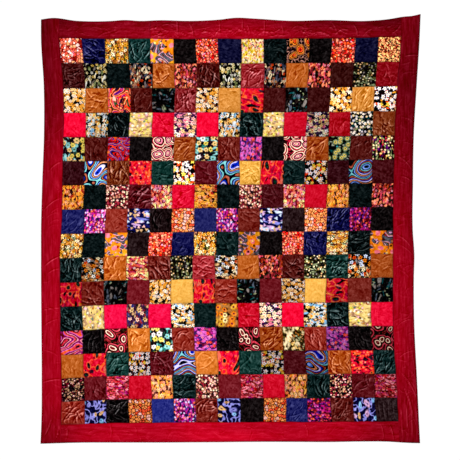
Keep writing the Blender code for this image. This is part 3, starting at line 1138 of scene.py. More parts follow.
# The creases that stand out, by row and column of the patch, from the top left: where each starts
# and ends across and down the patch, how far it bends, and its strength.
CREASES = {
    (1, 2): ((0.10, 0.38, 0.45, 0.20, 0.2, 0.7), (0.52, 0.20, 0.62, 0.75, -0.2, 0.6),
             (0.3, 0.6, 0.75, 0.4, 0.1, 0.5)),
    (1, 4): ((0.06, 0.15, 0.26, 0.92, -0.1, 1.7), (0.22, 0.25, 0.55, 0.8, 0.2, 1.8),
             (0.48, 0.15, 0.5, 0.6, 0.1, 1.5), (0.12, 0.5, 0.4, 0.95, 0.1, 1.4),
             (0.6, 0.3, 0.8, 0.9, 0.1, 0.7)),
    (2, 1): ((0.2, 0.1, 0.3, 0.9, 0.15, 0.7), (0.45, 0.1, 0.45, 0.9, -0.1, 0.6),
             (0.65, 0.2, 0.78, 0.8, -0.2, 0.6)),
    (2, 5): ((0.3, 0.78, 0.78, 0.36, 0.1, 1.8), (0.42, 0.62, 0.85, 0.42, -0.1, 1.4),
             (0.2, 0.3, 0.7, 0.2, 0.1, 0.4)),
    (2, 7): ((0.5, 0.1, 0.45, 0.8, 0.1, 0.7), (0.15, 0.6, 0.5, 0.9, 0.2, 0.6),
             (0.7, 0.3, 0.95, 0.62, 0.1, 0.7)),
    (2, 11): ((0.15, 0.85, 0.6, 0.35, 0.1, 0.6), (0.6, 0.9, 0.92, 0.3, -0.1, 0.7),
              (0.35, 0.3, 0.7, 0.15, 0.1, 0.5)),
    (3, 2): ((0.08, 0.95, 0.42, 0.3, 0.15, 0.7), (0.3, 0.95, 0.72, 0.35, 0.1, 0.8),
             (0.55, 0.9, 0.95, 0.3, 0.1, 0.6), (0.6, 0.25, 0.95, 0.12, 0.1, 0.6)),
    (3, 6): ((0.08, 0.6, 0.92, 0.75, -0.1, 0.8), (0.15, 0.38, 0.85, 0.3, 0.1, 0.6),
             (0.1, 0.88, 0.6, 0.9, 0.05, 0.6)),
    (3, 14): ((0.6, 0.1, 0.7, 0.7, 0.1, 0.8), (0.1, 0.35, 0.6, 0.6, 0.1, 0.5),
              (0.5, 0.88, 0.95, 0.72, 0.05, 0.7)),
    (4, 9): ((0.1, 0.25, 0.6, 0.42, 0.1, 0.7), (0.2, 0.6, 0.9, 0.5, 0.15, 0.7),
             (0.3, 0.9, 0.9, 0.8, 0.1, 0.6)),
    (5, 6): ((0.1, 0.85, 0.8, 0.2, 0.1, 0.8), (0.4, 0.92, 0.92, 0.42, -0.1, 0.7),
             (0.2, 0.5, 0.55, 0.25, 0.1, 0.7)),
    (6, 3): ((0.15, 0.85, 0.75, 0.2, 0.1, 0.8), (0.45, 0.9, 0.9, 0.45, 0.1, 0.7),
             (0.1, 0.45, 0.5, 0.2, 0.1, 0.6)),
    (6, 9): ((0.04, 0.5, 0.96, 0.36, 0.12, 1.0), (0.5, 0.62, 0.7, 0.36, 0.1, 0.6)),
    (7, 4): ((0.5, 0.1, 0.42, 0.8, 0.1, 0.7), (0.7, 0.2, 0.42, 0.72, 0.1, 0.6),
             (0.2, 0.5, 0.4, 0.9, 0.1, 0.5)),
    (7, 6): ((0.05, 0.75, 0.6, 0.95, 0.1, 0.6), (0.2, 0.2, 0.8, 0.3, 0.1, 0.4)),
    (8, 9): ((0.04, 0.13, 0.96, 0.17, 0.02, 0.9), (0.3, 0.5, 0.8, 0.6, 0.1, 0.4)),
    (9, 12): ((0.1, 0.15, 0.95, 0.5, 0.06, 0.8), (0.15, 0.5, 0.7, 0.85, 0.1, 0.5)),
    (9, 14): ((0.05, 0.2, 0.95, 0.25, 0.16, 1.1), (0.1, 0.45, 0.85, 0.35, 0.12, 0.8)),
    (10, 1): ((0.7, 0.12, 0.76, 0.9, 0.05, 1.6), (0.85, 0.3, 0.8, 0.95, 0.05, 1.1),
              (0.2, 0.2, 0.15, 0.8, 0.1, 0.4)),
    (10, 3): ((0.15, 0.3, 0.6, 0.5, 0.15, 0.7), (0.5, 0.2, 0.55, 0.8, 0.1, 0.6),
              (0.1, 0.8, 0.9, 0.6, 0.15, 0.8)),
    (10, 5): ((0.45, 0.15, 0.5, 0.95, 0.03, 1.7), (0.92, 0.08, 0.95, 0.85, -0.04, 1.9),
              (0.7, 0.3, 0.72, 0.9, 0.1, 0.6), (0.15, 0.3, 0.12, 0.8, 0.1, 0.5)),
    (10, 7): ((0.08, 0.3, 0.92, 0.62, 0.08, 1.5), (0.12, 0.85, 0.85, 0.3, -0.05, 1.4),
              (0.3, 0.15, 0.9, 0.3, 0.1, 0.8), (0.1, 0.6, 0.6, 0.9, 0.1, 0.7)),
    (10, 9): ((0.15, 0.6, 0.96, 0.3, 0.04, 0.9),),
    (10, 11): ((0.2, 0.52, 0.62, 0.1, 0.1, 1.6),),
    (10, 13): ((0.25, 0.4, 0.55, 0.6, 0.1, 0.8), (0.5, 0.3, 0.6, 0.8, 0.1, 0.7),
               (0.5, 0.6, 0.9, 0.5, 0.1, 0.5)),
    (11, 2): ((0.1, 0.65, 0.9, 0.7, 0.06, 0.6), (0.5, 0.1, 0.3, 0.6, 0.1, 0.5),
              (0.75, 0.1, 0.7, 0.6, 0.1, 0.5)),
    (11, 8): ((0.15, 0.4, 0.85, 0.3, 0.1, 0.5), (0.2, 0.75, 0.9, 0.85, 0.1, 0.5),
              (0.4, 0.1, 0.5, 0.6, 0.1, 0.5)),
    (12, 1): ((0.5, 0.95, 0.12, 0.45, 0.1, 1.6), (0.5, 0.95, 0.48, 0.3, 0.05, 1.6),
              (0.52, 0.92, 0.9, 0.38, -0.1, 1.6), (0.55, 0.95, 0.75, 0.3, 0.0, 0.7),
              (0.45, 0.95, 0.3, 0.3, 0.0, 0.6)),
    (12, 9): ((0.14, 0.47, 0.82, 0.49, 0.02, 1.7), (0.3, 0.75, 0.6, 0.85, 0.1, 0.4)),
    (12, 13): ((0.15, 0.3, 0.5, 0.8, 0.2, 0.7), (0.4, 0.2, 0.9, 0.55, -0.2, 0.7),
               (0.3, 0.9, 0.8, 0.7, 0.15, 0.7)),
    (12, 14): ((0.2, 0.2, 0.6, 0.9, 0.1, 0.7), (0.5, 0.1, 0.8, 0.7, 0.1, 0.5)),
    (13, 2): ((0.3, 0.4, 0.75, 0.3, 0.05, 0.7), (0.5, 0.5, 0.42, 0.95, 0.05, 0.7)),
    (13, 4): ((0.3, 0.3, 0.7, 0.6, 0.2, 0.8), (0.6, 0.2, 0.4, 0.8, 0.1, 0.8),
              (0.5, 0.5, 0.9, 0.7, 0.1, 0.6)),
    (13, 6): ((0.08, 0.3, 0.9, 0.78, -0.3, 0.9), (0.2, 0.25, 0.92, 0.4, -0.1, 0.7),
              (0.05, 0.7, 0.7, 0.95, 0.1, 0.7)),
    (13, 10): ((0.08, 0.9, 0.9, 0.2, 0.05, 0.9), (0.3, 0.95, 0.95, 0.5, 0.05, 0.8),
               (0.1, 0.55, 0.6, 0.15, 0.05, 0.7)),
    (13, 12): ((0.1, 0.1, 0.85, 0.92, 0.03, 0.9), (0.1, 0.5, 0.6, 0.92, 0.05, 0.8),
               (0.4, 0.1, 0.92, 0.6, 0.05, 0.7)),
    (14, 3): ((0.2, 0.9, 0.55, 0.2, 0.1, 0.7), (0.5, 0.85, 0.85, 0.3, 0.1, 0.6)),
    (14, 5): ((0.1, 0.5, 0.9, 0.35, 0.1, 0.7), (0.5, 0.1, 0.55, 0.9, 0.1, 0.6)),
    (14, 7): ((0.15, 0.75, 0.85, 0.3, 0.08, 0.8), (0.2, 0.4, 0.6, 0.2, 0.1, 0.5)),
    (15, 6): ((0.08, 0.7, 0.42, 0.86, 0.05, 2.0), (0.1, 0.3, 0.3, 0.36, 0.1, 1.5),
              (0.6, 0.2, 0.8, 0.3, 0.1, 0.5)),
    (16, 1): ((0.6, 0.3, 0.1, 0.92, 0.05, 1.6), (0.58, 0.3, 0.9, 0.95, -0.05, 1.7),
              (0.2, 0.12, 0.58, 0.32, 0.1, 1.2), (0.5, 0.4, 0.3, 0.95, 0.05, 0.9),
              (0.62, 0.5, 0.7, 0.95, 0.0, 0.8), (0.9, 0.1, 0.62, 0.32, 0.1, 0.6)),
    (16, 7): ((0.3, 0.1, 0.35, 0.65, 0.1, 0.7), (0.6, 0.1, 0.5, 0.8, 0.1, 0.8),
              (0.8, 0.2, 0.75, 0.9, 0.1, 0.5)),
    (16, 13): ((0.1, 0.35, 0.9, 0.45, 0.06, 0.6), (0.15, 0.7, 0.9, 0.65, 0.06, 0.6)),
    (16, 15): ((0.18, 0.08, 0.2, 0.9, 0.02, 0.4), (0.38, 0.1, 0.4, 0.95, 0.02, 0.5),
               (0.6, 0.1, 0.58, 0.9, 0.02, 0.4), (0.8, 0.08, 0.82, 0.85, 0.02, 0.4)),
}

# The further creases of a patch: half their length and the place of their middle in shares of the
# patch, how far they fan out from its main direction in radians, how far they bend, and how strong
# and wide they are, as shares of the usual.
CREASE_REACH = (0.12, 0.36)
CREASE_PLACE = (0.15, 0.85)
CREASE_FAN = 0.45
CREASE_BEND = 0.25
CREASE_FORCE = (0.5, 1.2)
CREASE_WIDTHS = (0.75, 1.2)
# Half the length in metres of the border's further creases, and how wide all of its creases are.
BORDER_CREASE_REACH = (0.01, 0.045)
BORDER_CREASE_WIDTHS = (0.6, 1.0)
# How strong the border's further creases are, as shares of its strongest, and where they lie from
# the patchwork to the outer edge and how far they fan out, on most of it and along the top.
BORDER_CREASE_FORCE = (0.3, 1.0)
BORDER_CREASE_PLACE = (0.06, 0.9)
BORDER_CREASE_FAN = 0.6
TOP_CREASE_PLACE = (0.06, 0.62)
TOP_CREASE_FAN = 0.35
# How low and high creases may reach, in heights of a crease.
RISE_LIMITS = (-1.2, 1.6)

# The distance between the folds of crumpled pile, coarse and fine, the share of the fine ones and how
# far they turn from the coarse ones on a patch and on the border, and the share of all on a print.
COARSE_FOLD = 0.017
FINE_FOLD = 0.009
FINE_SHARE = 0.7
FINE_TURN = 0.4
BORDER_FINE_SHARE = 0.9
BORDER_FINE_TURN = 0.5
PRINT_CRUMPLE = 0.6

# The lumps of the filling: their height, and their waves for each metre across and down.
LUMP_HEIGHT = 0.00035
LUMP_WAVES = (95, 88)

# The border: how much stronger it gathers beside the patchwork than a patch does, the share of its
# height right at the outer edge, and how dark that edge is and how far in its shade reaches.
BORDER_GATHER = 1.4
EDGE_FOOT = 0.22
EDGE_SHADE = 0.65
EDGE_SHADE_REACH = 0.006
# How far past the patchwork a side strip's seam runs out, in border widths, how near the outer edge
# creases end, in metres, and how long at the most a panel of its map for baking is, in metres.
SEAM_END = 0.08
CREASE_END = 0.012
PANEL_LENGTH = 0.5
# The join in the top border: how high the cloth is there and how strong its seam, as shares, and how
# far beside it, in metres, the cloth has risen again.
JOIN_HEIGHT = 0.4
JOIN_SEAM = 0.4
JOIN_REACH = 0.02

# The angle in degrees from which an edge of the cloth looks sharp.
SHARP_ANGLE = 50

# How many more creases a crushed patch has, and how strong they are, for each figure in the chart.
CRUSHED = {0: (2, 0.3), 1: (6, 0.8), 2: (10, 1.25), 3: (14, 1.5)}

# How far the pile of a patch is crumpled all over, for each figure in the chart.
CRUMPLED = {0: 0.18, 1: 0.45, 2: 0.8, 3: 1.05}

# How much darker the pile is painted between the creases of a patch, as painted shade, for each figure in
# the chart.
SHADE_BETWEEN_CREASES = {0: 0.0, 1: 0.05, 2: 0.1, 3: 0.17}

# The creases of the border, in millimetres from the middle of the quilt: the start, the end, how far
# it bends, and its strength.
BORDER_CREASES = (
    (-1040, 330, -965, 385, 0.1, 0.6),
    (-1072, 105, -968, 178, 0.08, 0.9),
    (-1060, 60, -975, 95, 0.1, 0.5),
    (-1066, -215, -975, -158, 0.06, 1.0),
    (-1050, -260, -975, -230, 0.1, 0.6),
    (-1082, -470, -968, -458, 0.05, 0.9),
    (-1070, -560, -985, -520, 0.1, 0.5),
    (-1080, -885, -968, -868, 0.06, 0.8),
    (-1075, -700, -990, -735, 0.1, 0.5),
    (-985, -1130, -1010, -1215, 0.08, 0.8),
    (-940, -1140, -950, -1220, 0.08, 0.6),
    (-1030, -1090, -1070, -1190, 0.05, 0.7),
    (-985, 1120, -1000, 1170, 0.1, 0.5),
    (-430, 1095, -330, 1130, 0.2, 0.8),
    (-330, 1130, -240, 1100, -0.2, 0.8),
    (-240, 1180, -215, 1105, 0.1, 0.9),
    (-180, 1120, -90, 1100, 0.2, 0.8),
    (-90, 1100, -30, 1150, 0.2, 0.8),
    (-400, 1170, -280, 1160, 0.08, 0.5),
    (-309, 1205, -306, 1112, 0.02, 0.7),
    (-62, 1200, -66, 1110, 0.02, 0.6),
    (66, 1205, 64, 1112, 0.02, 0.7),
    (194, 1200, 190, 1112, 0.02, 0.6),
    (10, 1110, 110, 1115, 0.25, 0.8),
    (90, 1180, 105, 1110, 0.1, 0.7),
    (150, 1105, 260, 1115, 0.2, 0.9),
    (290, 1170, 300, 1110, 0.1, 0.7),
    (360, 1110, 470, 1120, 0.2, 0.8),
    (480, 1120, 560, 1105, 0.2, 0.8),
    (600, 1110, 680, 1140, 0.2, 0.8),
    (700, 1180, 730, 1105, 0.1, 1.0),
    (760, 1105, 820, 1150, 0.1, 0.7),
    (1000, 990, 1080, 995, 0.05, 0.9),
    (975, 880, 1060, 900, 0.1, 0.5),
    (985, 640, 1050, 610, 0.1, 0.6),
    (950, 420, 1045, 330, 0.1, 0.7),
    (975, 300, 1040, 270, 0.1, 0.6),
    (945, -30, 1040, -110, 0.08, 0.9),
    (960, -90, 1045, -150, 0.08, 0.7),
    (960, -230, 1030, -290, 0.1, 0.6),
    (960, -560, 1050, -520, 0.12, 0.7),
    (970, -740, 1060, -700, 0.1, 0.7),
    (975, -820, 1070, -980, 0.06, 0.8),
    (990, -900, 1050, -1100, 0.05, 0.8),
    (1040, -700, 1060, -1000, 0.03, 0.7),
    (1000, -960, 1012, -1190, 0.03, 0.6),
    (1030, -1000, 1042, -1200, 0.03, 0.5),
    (975, -1020, 985, -1180, 0.04, 0.5),
    (1060, -1010, 1072, -1190, 0.03, 0.5),
    (1012, -560, 1020, -800, 0.02, 0.4),
    (860, -1120, 875, -1220, 0.08, 0.7),
    (910, -1120, 935, -1220, 0.06, 0.8),
    (-560, -1120, -540, -1200, 0.1, 0.5),
    (-700, -1110, -690, -1200, 0.1, 0.5),
    (420, -1110, 440, -1200, 0.1, 0.4),
)

# How many small creases each strip of the border has for each patch it passes, how strong the
# strongest is, and how they are spread: above 1, they gather towards the left or the top.
BORDER_CRUSHED = {
    "border_left": (3, 0.35, 1.0),
    "border_right": (5, 0.4, 0.7),
    "border_top_short": (6, 0.55, 1.0),
    "border_top_long": (11, 0.8, 1.6),
    "border_bottom": (5, 0.35, 1.0),
}

# The direction that each strip of the border is crumpled in, and how far.
BORDER_CRUMPLE = {
    "border_left": (1.9, 0.05),
    "border_right": (1.2, 0.12),
    "border_top_short": (1.5, 0.16),
    "border_top_long": (0.2, 0.2),
    "border_bottom": (0.2, 0.1),
}

# Painted light and shade on the border, darker towards some corners and, on most strips, towards the
# outer edge: how light it is painted along each strip, the column or row position, then the share of
# light beside the patchwork and near the outer edge.
BORDER_LIGHT_AND_SHADE = {
    "border_left": (
        (-1, 0.40, 0.26), (0, 0.45, 0.29), (1, 0.48, 0.35), (2, 0.48, 0.39), (3, 0.58, 0.41),
        (4, 0.70, 0.52), (5, 0.90, 0.64), (7, 1.0, 0.75), (9, 0.94, 0.76), (11, 1.02, 0.87),
        (13, 0.96, 0.82), (15, 0.90, 0.78), (16, 0.70, 0.54), (17, 0.60, 0.48),
    ),
    "border_right": (
        (-1, 0.41, 0.37), (1, 0.36, 0.35), (2, 0.32, 0.29), (4, 0.43, 0.40), (6, 0.54, 0.48),
        (7, 0.60, 0.57), (8, 0.76, 0.58), (10, 0.78, 0.78), (12, 0.86, 0.71), (13, 0.86, 0.65),
        (14, 0.70, 0.60), (15, 0.58, 0.64), (16, 0.58, 0.52), (17, 0.50, 0.45),
    ),
    "border_top_short": (
        (0, 0.44, 0.27), (1, 0.55, 0.41), (2, 0.63, 0.50), (3, 0.74, 0.57), (4, 0.78, 0.50),
    ),
    "border_top_long": (
        (4, 1.0, 0.52), (6, 0.98, 0.51), (7, 1.1, 0.66), (8, 1.05, 0.67), (9, 1.0, 0.62),
        (10, 0.82, 0.52), (11, 0.70, 0.40), (12, 0.68, 0.34), (13, 0.58, 0.37), (14, 0.50, 0.26),
        (15, 0.43, 0.25),
    ),
    "border_bottom": (
        (0, 0.60, 0.62), (1, 0.90, 1.04), (2, 1.05, 1.18), (4, 1.06, 1.10), (5, 1.15, 1.20),
        (6, 1.36, 1.50), (7, 1.22, 1.50), (8, 1.12, 1.55), (9, 1.02, 1.30), (10, 1.0, 1.14),
        (12, 0.97, 1.04), (13, 0.90, 0.86), (14, 0.64, 0.66), (15, 0.54, 0.70),
    ),
}


def eased(cells):
    """Positions from 0 to 1, closer together towards both ends, where the seams are."""
    t = np.linspace(0, 1, cells + 1)
    return t - 0.3 * np.sin(math.tau * t) / math.tau


def at_seam(distance, width):
    """1 at a seam, falling to 0 away from it."""
    return np.exp(-((distance / width) ** 2))


# The gathers beside a seam: how soon they die away, how far they sway sideways, and the waves of
# that for each metre.
PUCKER_FALL = 1.6
PUCKER_SWAY = 1.7
PUCKER_SWAY_WAVES = 91.0


def puckers(distance, along, sizes, phase):
    """The gathers beside a seam: none right at it, the highest near it, and none further off."""
    near = distance / sizes.pucker_spacing * PUCKER_FALL
    sway = PUCKER_SWAY * np.sin(along * PUCKER_SWAY_WAVES + phase)
    wave = np.sin(math.tau * along / sizes.pucker_spacing + phase + sway)
    return sizes.pucker_height * near * np.exp(1 - near) * wave


def finish_mesh(name, mesh, points, materials):
    """Shapes a mesh and makes it an object of the quilt, in place of the part of the same name, which it
    hides.
    """
    mesh.vertices.foreach_set("co", np.ascontiguousarray(points, float).ravel())
    for material in materials:
        mesh.materials.append(material)
    mesh.update()
    mesh.shade_smooth()
    mesh.set_sharp_from_angle(angle=math.radians(SHARP_ANGLE))
    piece = bpy.data.objects.new(f"cloth_{name}", mesh)
    bpy.context.scene.collection.objects.link(piece)
    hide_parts(name)
    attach(piece, "root")
    return piece


def draw_in(x, y, i, j, last_i, last_j, sewn):
    """Draws the sewn sides in by half of the seam's gap."""
    half = SEAM_GAP / 2
    x = x + half * ((i == 0) & ("left" in sewn)) - half * ((i == last_i) & ("right" in sewn))
    y = y - half * ((j == 0) & ("top" in sewn)) + half * ((j == last_j) & ("bottom" in sewn))
    return x, y


def chart_entry(entry):
    """What an entry of the chart says: the velvet, how far it is crushed, and its mark."""
    kept = entry.rstrip("+-")
    name, _, level = kept.partition(".")
    return name, int(level or 0), entry[len(kept):]


def pieced_row(index, sizes):
    """One row of patches: puffed, puckered and creased, each cut from its own velvet."""
    chance = random.Random(CLOTH_SEED * 1000 + index)
    cells = sizes.patch_cells
    steps = eased(cells)
    columns = np.concatenate([k + steps[:-1] for k in range(COLUMNS)] + [[float(COLUMNS)]])
    rows = index + steps
    name = f"row_{index + 1:02d}"
    mesh, i, j, face = cloth_mesh(name, columns, rows)
    column, row = columns[i], rows[j]
    patch = np.minimum(i // cells, COLUMNS - 1)
    u, v = column - patch, row - index
    shifts = np.array(SHIFTS[index])
    x, y = place(column, row)
    leans = np.array([0.0, *(chance.uniform(-SEAM_LEAN, SEAM_LEAN) for _ in range(COLUMNS - 1)), 0.0])
    aside = shifts[patch] * (1 - u) + shifts[patch + 1] * u
    x = x + aside + (leans[patch] * (1 - u) + leans[patch + 1] * u) * np.sin(math.pi * (v - 0.5))
    x, y = draw_in(x, y, i, j, len(columns) - 1, len(rows) - 1, ("left", "right", "top", "bottom"))

    puff = sizes.patch_puff * np.array(PUFFS[index])[patch]
    full = pillow(u) * pillow(v)
    to_side = np.minimum(u, 1 - u) * PATCH_WIDTH
    to_end = np.minimum(v, 1 - v) * ROW_PITCH
    seam = np.maximum(at_seam(to_side, sizes.ditch_width), at_seam(to_end, sizes.ditch_width))
    z = sizes.seam_height + puff * full - sizes.seam_ditch * seam
    rise, crush, lumps = np.zeros(len(x)), np.zeros(len(x)), np.zeros(len(x))
    velvets, levels, marks = zip(*(chart_entry(entry) for entry in CHART[index].split()))
    for k, (velvet_name, level) in enumerate(zip(velvets, levels)):
        own = np.flatnonzero(patch == k)
        at_x, at_y = u[own] * PATCH_WIDTH, v[own] * ROW_PITCH
        phases = [chance.uniform(0, math.tau) for _ in range(6)]
        lumps[own] += puckers(at_x, at_y, sizes, phases[0])
        lumps[own] += puckers(PATCH_WIDTH - at_x, at_y, sizes, phases[1])
        lumps[own] += puckers(at_y, at_x, sizes, phases[2])
        lumps[own] += puckers(ROW_PITCH - at_y, at_x, sizes, phases[3])
        waves = np.sin(at_x * LUMP_WAVES[0] + phases[4]) * np.sin(at_y * LUMP_WAVES[1] + phases[5])
        lumps[own] += LUMP_HEIGHT * full[own] * waves
        strokes = list(CREASES.get((index + 1, k + 1), ()))
        count, strength = CRUSHED[level]
        lean = chance.uniform(0, math.pi)
        for _ in range(count):
            angle = lean + chance.gauss(0, CREASE_FAN)
            reach = chance.uniform(*CREASE_REACH)
            mid_u, mid_v = chance.uniform(*CREASE_PLACE), chance.uniform(*CREASE_PLACE)
            dx, dy = reach * math.cos(angle), reach * math.sin(angle)
            bend = chance.uniform(-CREASE_BEND, CREASE_BEND)
            force = strength * chance.uniform(*CREASE_FORCE)
            strokes.append((mid_u - dx, mid_v - dy, mid_u + dx, mid_v + dy, bend, force))
        own_rise, own_crush_and_sheen = np.zeros(len(own)), np.zeros(len(own))
        for u0, v0, u1, v1, bend, force in strokes:
            line = crease_line(u0 * PATCH_WIDTH, v0 * ROW_PITCH, u1 * PATCH_WIDTH, v1 * ROW_PITCH, bend)
            width = sizes.crease_width * chance.uniform(*CREASE_WIDTHS)
            lay_crease(at_x, at_y, line, width, force, own_rise, own_crush_and_sheen)
        amount = CRUMPLED[level] * (PRINT_CRUMPLE if velvet_name in PRINTS else 1.0)
        own_crumple = crumple(at_x, at_y, lean, COARSE_FOLD, chance.uniform(0, 90))
        fine = crumple(at_x, at_y, lean + FINE_TURN, FINE_FOLD, chance.uniform(0, 90))
        own_crumple += FINE_SHARE * fine
        own_rise += own_crumple * amount
        # Painted shade: the pile is painted darker between the creases.
        own_crush_and_sheen += own_crumple * amount - SHADE_BETWEEN_CREASES[level]
        kept = np.minimum(1, full[own] * 2.5)
        rise[own] += own_rise * kept
        crush[own] += own_crush_and_sheen * kept
    z = z + lumps + sizes.crease_height * np.clip(rise, *RISE_LIMITS)
    z = np.where(face, z, 0.0)

    points, faces, starts = corner_facts(mesh)
    cell = np.minimum.reduceat(i[points], starts) // cells
    underside = ~np.maximum.reduceat(face[points].astype(int), starts).astype(bool)
    cell = np.minimum(cell, COLUMNS - 1)
    names = list(dict.fromkeys(velvets))
    slots = np.array([names.index(velvet_name) for velvet_name in velvets])[cell]
    mesh.polygons.foreach_set("material_index", np.where(underside, len(names), slots).astype(np.int32))

    corner_cell = cell[faces]
    offsets = np.array([[chance.uniform(-3, 3), chance.uniform(-3, 3), chance.choice((0, 0, 1, 2, 3))]
                        for _ in velvets])
    cut_x = (column[points] - corner_cell - 0.5) * PATCH_WIDTH
    cut_y = (0.5 - (row[points] - index)) * ROW_PITCH
    turn = offsets[corner_cell, 2] * math.pi / 2 + 0.06 * np.sin(offsets[corner_cell, 0] * 50)
    cut = np.stack([
        cut_x * np.cos(turn) - cut_y * np.sin(turn) + offsets[corner_cell, 0],
        cut_x * np.sin(turn) + cut_y * np.cos(turn) + offsets[corner_cell, 1],
        np.zeros(len(points)),
    ], 1)
    tones = np.array([PILE_LIGHT[mark] for mark in marks])
    set_attribute(mesh, "cloth_place", "FLOAT_VECTOR", "CORNER", cut)
    set_attribute(mesh, "tone", "FLOAT", "CORNER", tones[corner_cell])
    # The painted highlight and shade of the crushed pile.
    set_attribute(mesh, "crush", "FLOAT", "POINT", crush)
    set_attribute(mesh, "seam", "FLOAT", "POINT", seam)
    under = underside[faces]
    s = np.where(under, column[points] / COLUMNS, column[points] - corner_cell)
    panel = np.where(under, COLUMNS, corner_cell)
    lay_bake_map(mesh, panel, 4, 4, s, row[points] - index, ~face[points] & ~under)
    materials = [cloth_material(entry) for entry in (*names, "wrong_side")]
    return finish_mesh(name, mesh, np.stack([x, y, z], 1), materials)


def border_strip(name, columns, rows, sewn, sizes, flat):
    """One strip of the border, whose outer edge is turned under."""
    chance = random.Random(name)
    mesh, i, j, face = cloth_mesh(name, columns, rows)
    column, row = columns[i], rows[j]
    x, y = place(column, row)
    x, y = draw_in(x, y, i, j, len(columns) - 1, len(rows) - 1, sewn)
    beyond_side = np.maximum(np.maximum(-column, column - COLUMNS), 0)
    beyond_end = np.maximum(np.maximum(-row, row - ROWS), 0)
    on_side = name in ("border_left", "border_right")
    outward = beyond_side if on_side else beyond_end
    along = row if on_side else column
    if on_side:
        past = np.maximum(row - ROWS, -row)
        joined = 1 - np.clip(past / SEAM_END, 0, 1)
    else:
        joined = 1.0
    short, long = (np.sin(wave * along) for wave in GATHER_WAVES)
    full = pillow(np.maximum(beyond_side, beyond_end))
    z = sizes.seam_height + sizes.border_puff * (1 + UNEVEN_PUFF * short * long) * full
    seam = at_seam(outward * BORDER_WIDTH, sizes.ditch_width) * joined
    if "top" in name:
        to_join = np.abs(column - TOP_JOIN_COLUMN) * PATCH_WIDTH
        risen = np.minimum(1, JOIN_HEIGHT + to_join / JOIN_REACH) ** 0.5
        z = sizes.seam_height + (z - sizes.seam_height) * risen
        seam = np.maximum(seam, JOIN_SEAM * at_seam(to_join, sizes.ditch_width))
    z = z - sizes.seam_ditch * seam
    metres = along * (ROW_PITCH if on_side else PATCH_WIDTH)
    gathers = puckers(outward * BORDER_WIDTH, metres, sizes, chance.uniform(0, math.tau))
    z = z + gathers * BORDER_GATHER * joined
    z = z + puckers((1 - outward) * BORDER_WIDTH, metres, sizes, chance.uniform(0, math.tau))
    to_edge = BORDER_WIDTH * (1 - np.maximum(beyond_side, beyond_end))
    inside = np.clip(to_edge / sizes.edge_round, 0, 1)
    roll = EDGE_FOOT + (1 - EDGE_FOOT) * np.sqrt(1 - (1 - inside) ** 2)
    z = np.where(to_edge < BORDER_WIDTH / 2, np.maximum(z, sizes.edge_height), z) * roll

    rise, crush = np.zeros(len(x)), np.zeros(len(x))
    lines = [
        (crease_line(*(part * MM for part in ends), bend), force) for *ends, bend, force in BORDER_CREASES
    ]
    low, high = along.min(), along.max()
    density, strongest, spread = BORDER_CRUSHED[name]
    for _ in range(int((high - low) * density)):
        at = low + (high - low) * chance.random() ** spread
        out = chance.uniform(*(TOP_CREASE_PLACE if "top" in name else BORDER_CREASE_PLACE))
        angle = chance.gauss(0, TOP_CREASE_FAN if "top" in name else BORDER_CREASE_FAN)
        reach = chance.uniform(*BORDER_CREASE_REACH)
        if on_side:
            where = place(np.array([-out if name == "border_left" else COLUMNS + out]), np.array([at]))
        else:
            where = place(np.array([at]), np.array([-out if "top" in name else ROWS + out]))
        mid_x, mid_y = float(where[0][0]), float(where[1][0])
        dx, dy = reach * math.cos(angle), reach * math.sin(angle)
        bend = chance.uniform(-CREASE_BEND, CREASE_BEND)
        line = crease_line(mid_x - dx, mid_y - dy, mid_x + dx, mid_y + dy, bend)
        lines.append((line, strongest * chance.uniform(*BORDER_CREASE_FORCE)))
    for line, force in lines:
        width = sizes.crease_width * chance.uniform(*BORDER_CREASE_WIDTHS)
        lay_crease(x, y, line, width, force, rise, crush)
    lean, amount = BORDER_CRUMPLE[name]
    crumpled = crumple(x, y, lean, COARSE_FOLD, 3.5)
    crumpled += BORDER_FINE_SHARE * crumple(x, y, lean + BORDER_FINE_TURN, FINE_FOLD, 13.5)
    rise += crumpled * amount
    crush += crumpled * amount
    kept = np.minimum(1, np.maximum(beyond_side, beyond_end) * 10) * np.minimum(1, to_edge / CREASE_END)
    z = z + sizes.crease_height * np.clip(rise, *RISE_LIMITS) * kept
    crush = crush * kept
    z = np.where(face, z, 0.0)

    points, faces, starts = corner_facts(mesh)
    underside = ~np.maximum.reduceat(face[points].astype(int), starts).astype(bool)
    mesh.polygons.foreach_set("material_index", underside.astype(np.int32))
    turned = np.stack([y[points], x[points]] if on_side else [x[points], y[points]], 1)
    # The border's painted light and shade, along each strip and towards its outer edge, and the painted
    # shadow where its edge turns under.
    where, beside, outer = np.array(BORDER_LIGHT_AND_SHADE[name]).T
    out_share = np.clip((outward - 0.2) / 0.6, 0, 1)
    tone = np.interp(along, where, beside) * (1 - out_share) + np.interp(along, where, outer) * out_share
    edge_shadow = 1 - EDGE_SHADE * np.exp(-to_edge / EDGE_SHADE_REACH)
    set_attribute(mesh, "cloth_place", "FLOAT_VECTOR", "CORNER",
                  np.concatenate([turned, 0 * turned[:, :1]], 1))
    set_attribute(mesh, "tone", "FLOAT", "CORNER", (tone * edge_shadow)[points])
    # The painted highlight and shade of the crushed pile.
    set_attribute(mesh, "crush", "FLOAT", "POINT", crush)
    set_attribute(mesh, "seam", "FLOAT", "POINT", seam)
    lengthwise, widthwise = (j, i) if on_side else (i, j)
    last = lengthwise.max()
    bands = max(2, round(flat[on_side] / PANEL_LENGTH))
    under = underside[faces]
    band = (np.minimum.reduceat(lengthwise[points], starts) * bands // last)[faces]
    s = np.where(under, lengthwise[points] / last, lengthwise[points] * bands / last - band)
    on_wall = ~face[points] & ~under
    lay_bake_map(mesh, np.where(under, bands, band), 1, bands + 1, s,
                 widthwise[points] / widthwise.max(), on_wall)
    materials = [cloth_material("border_crimson"), cloth_material("wrong_side")]
    return finish_mesh(name, mesh, np.stack([x, y, z], 1), materials)


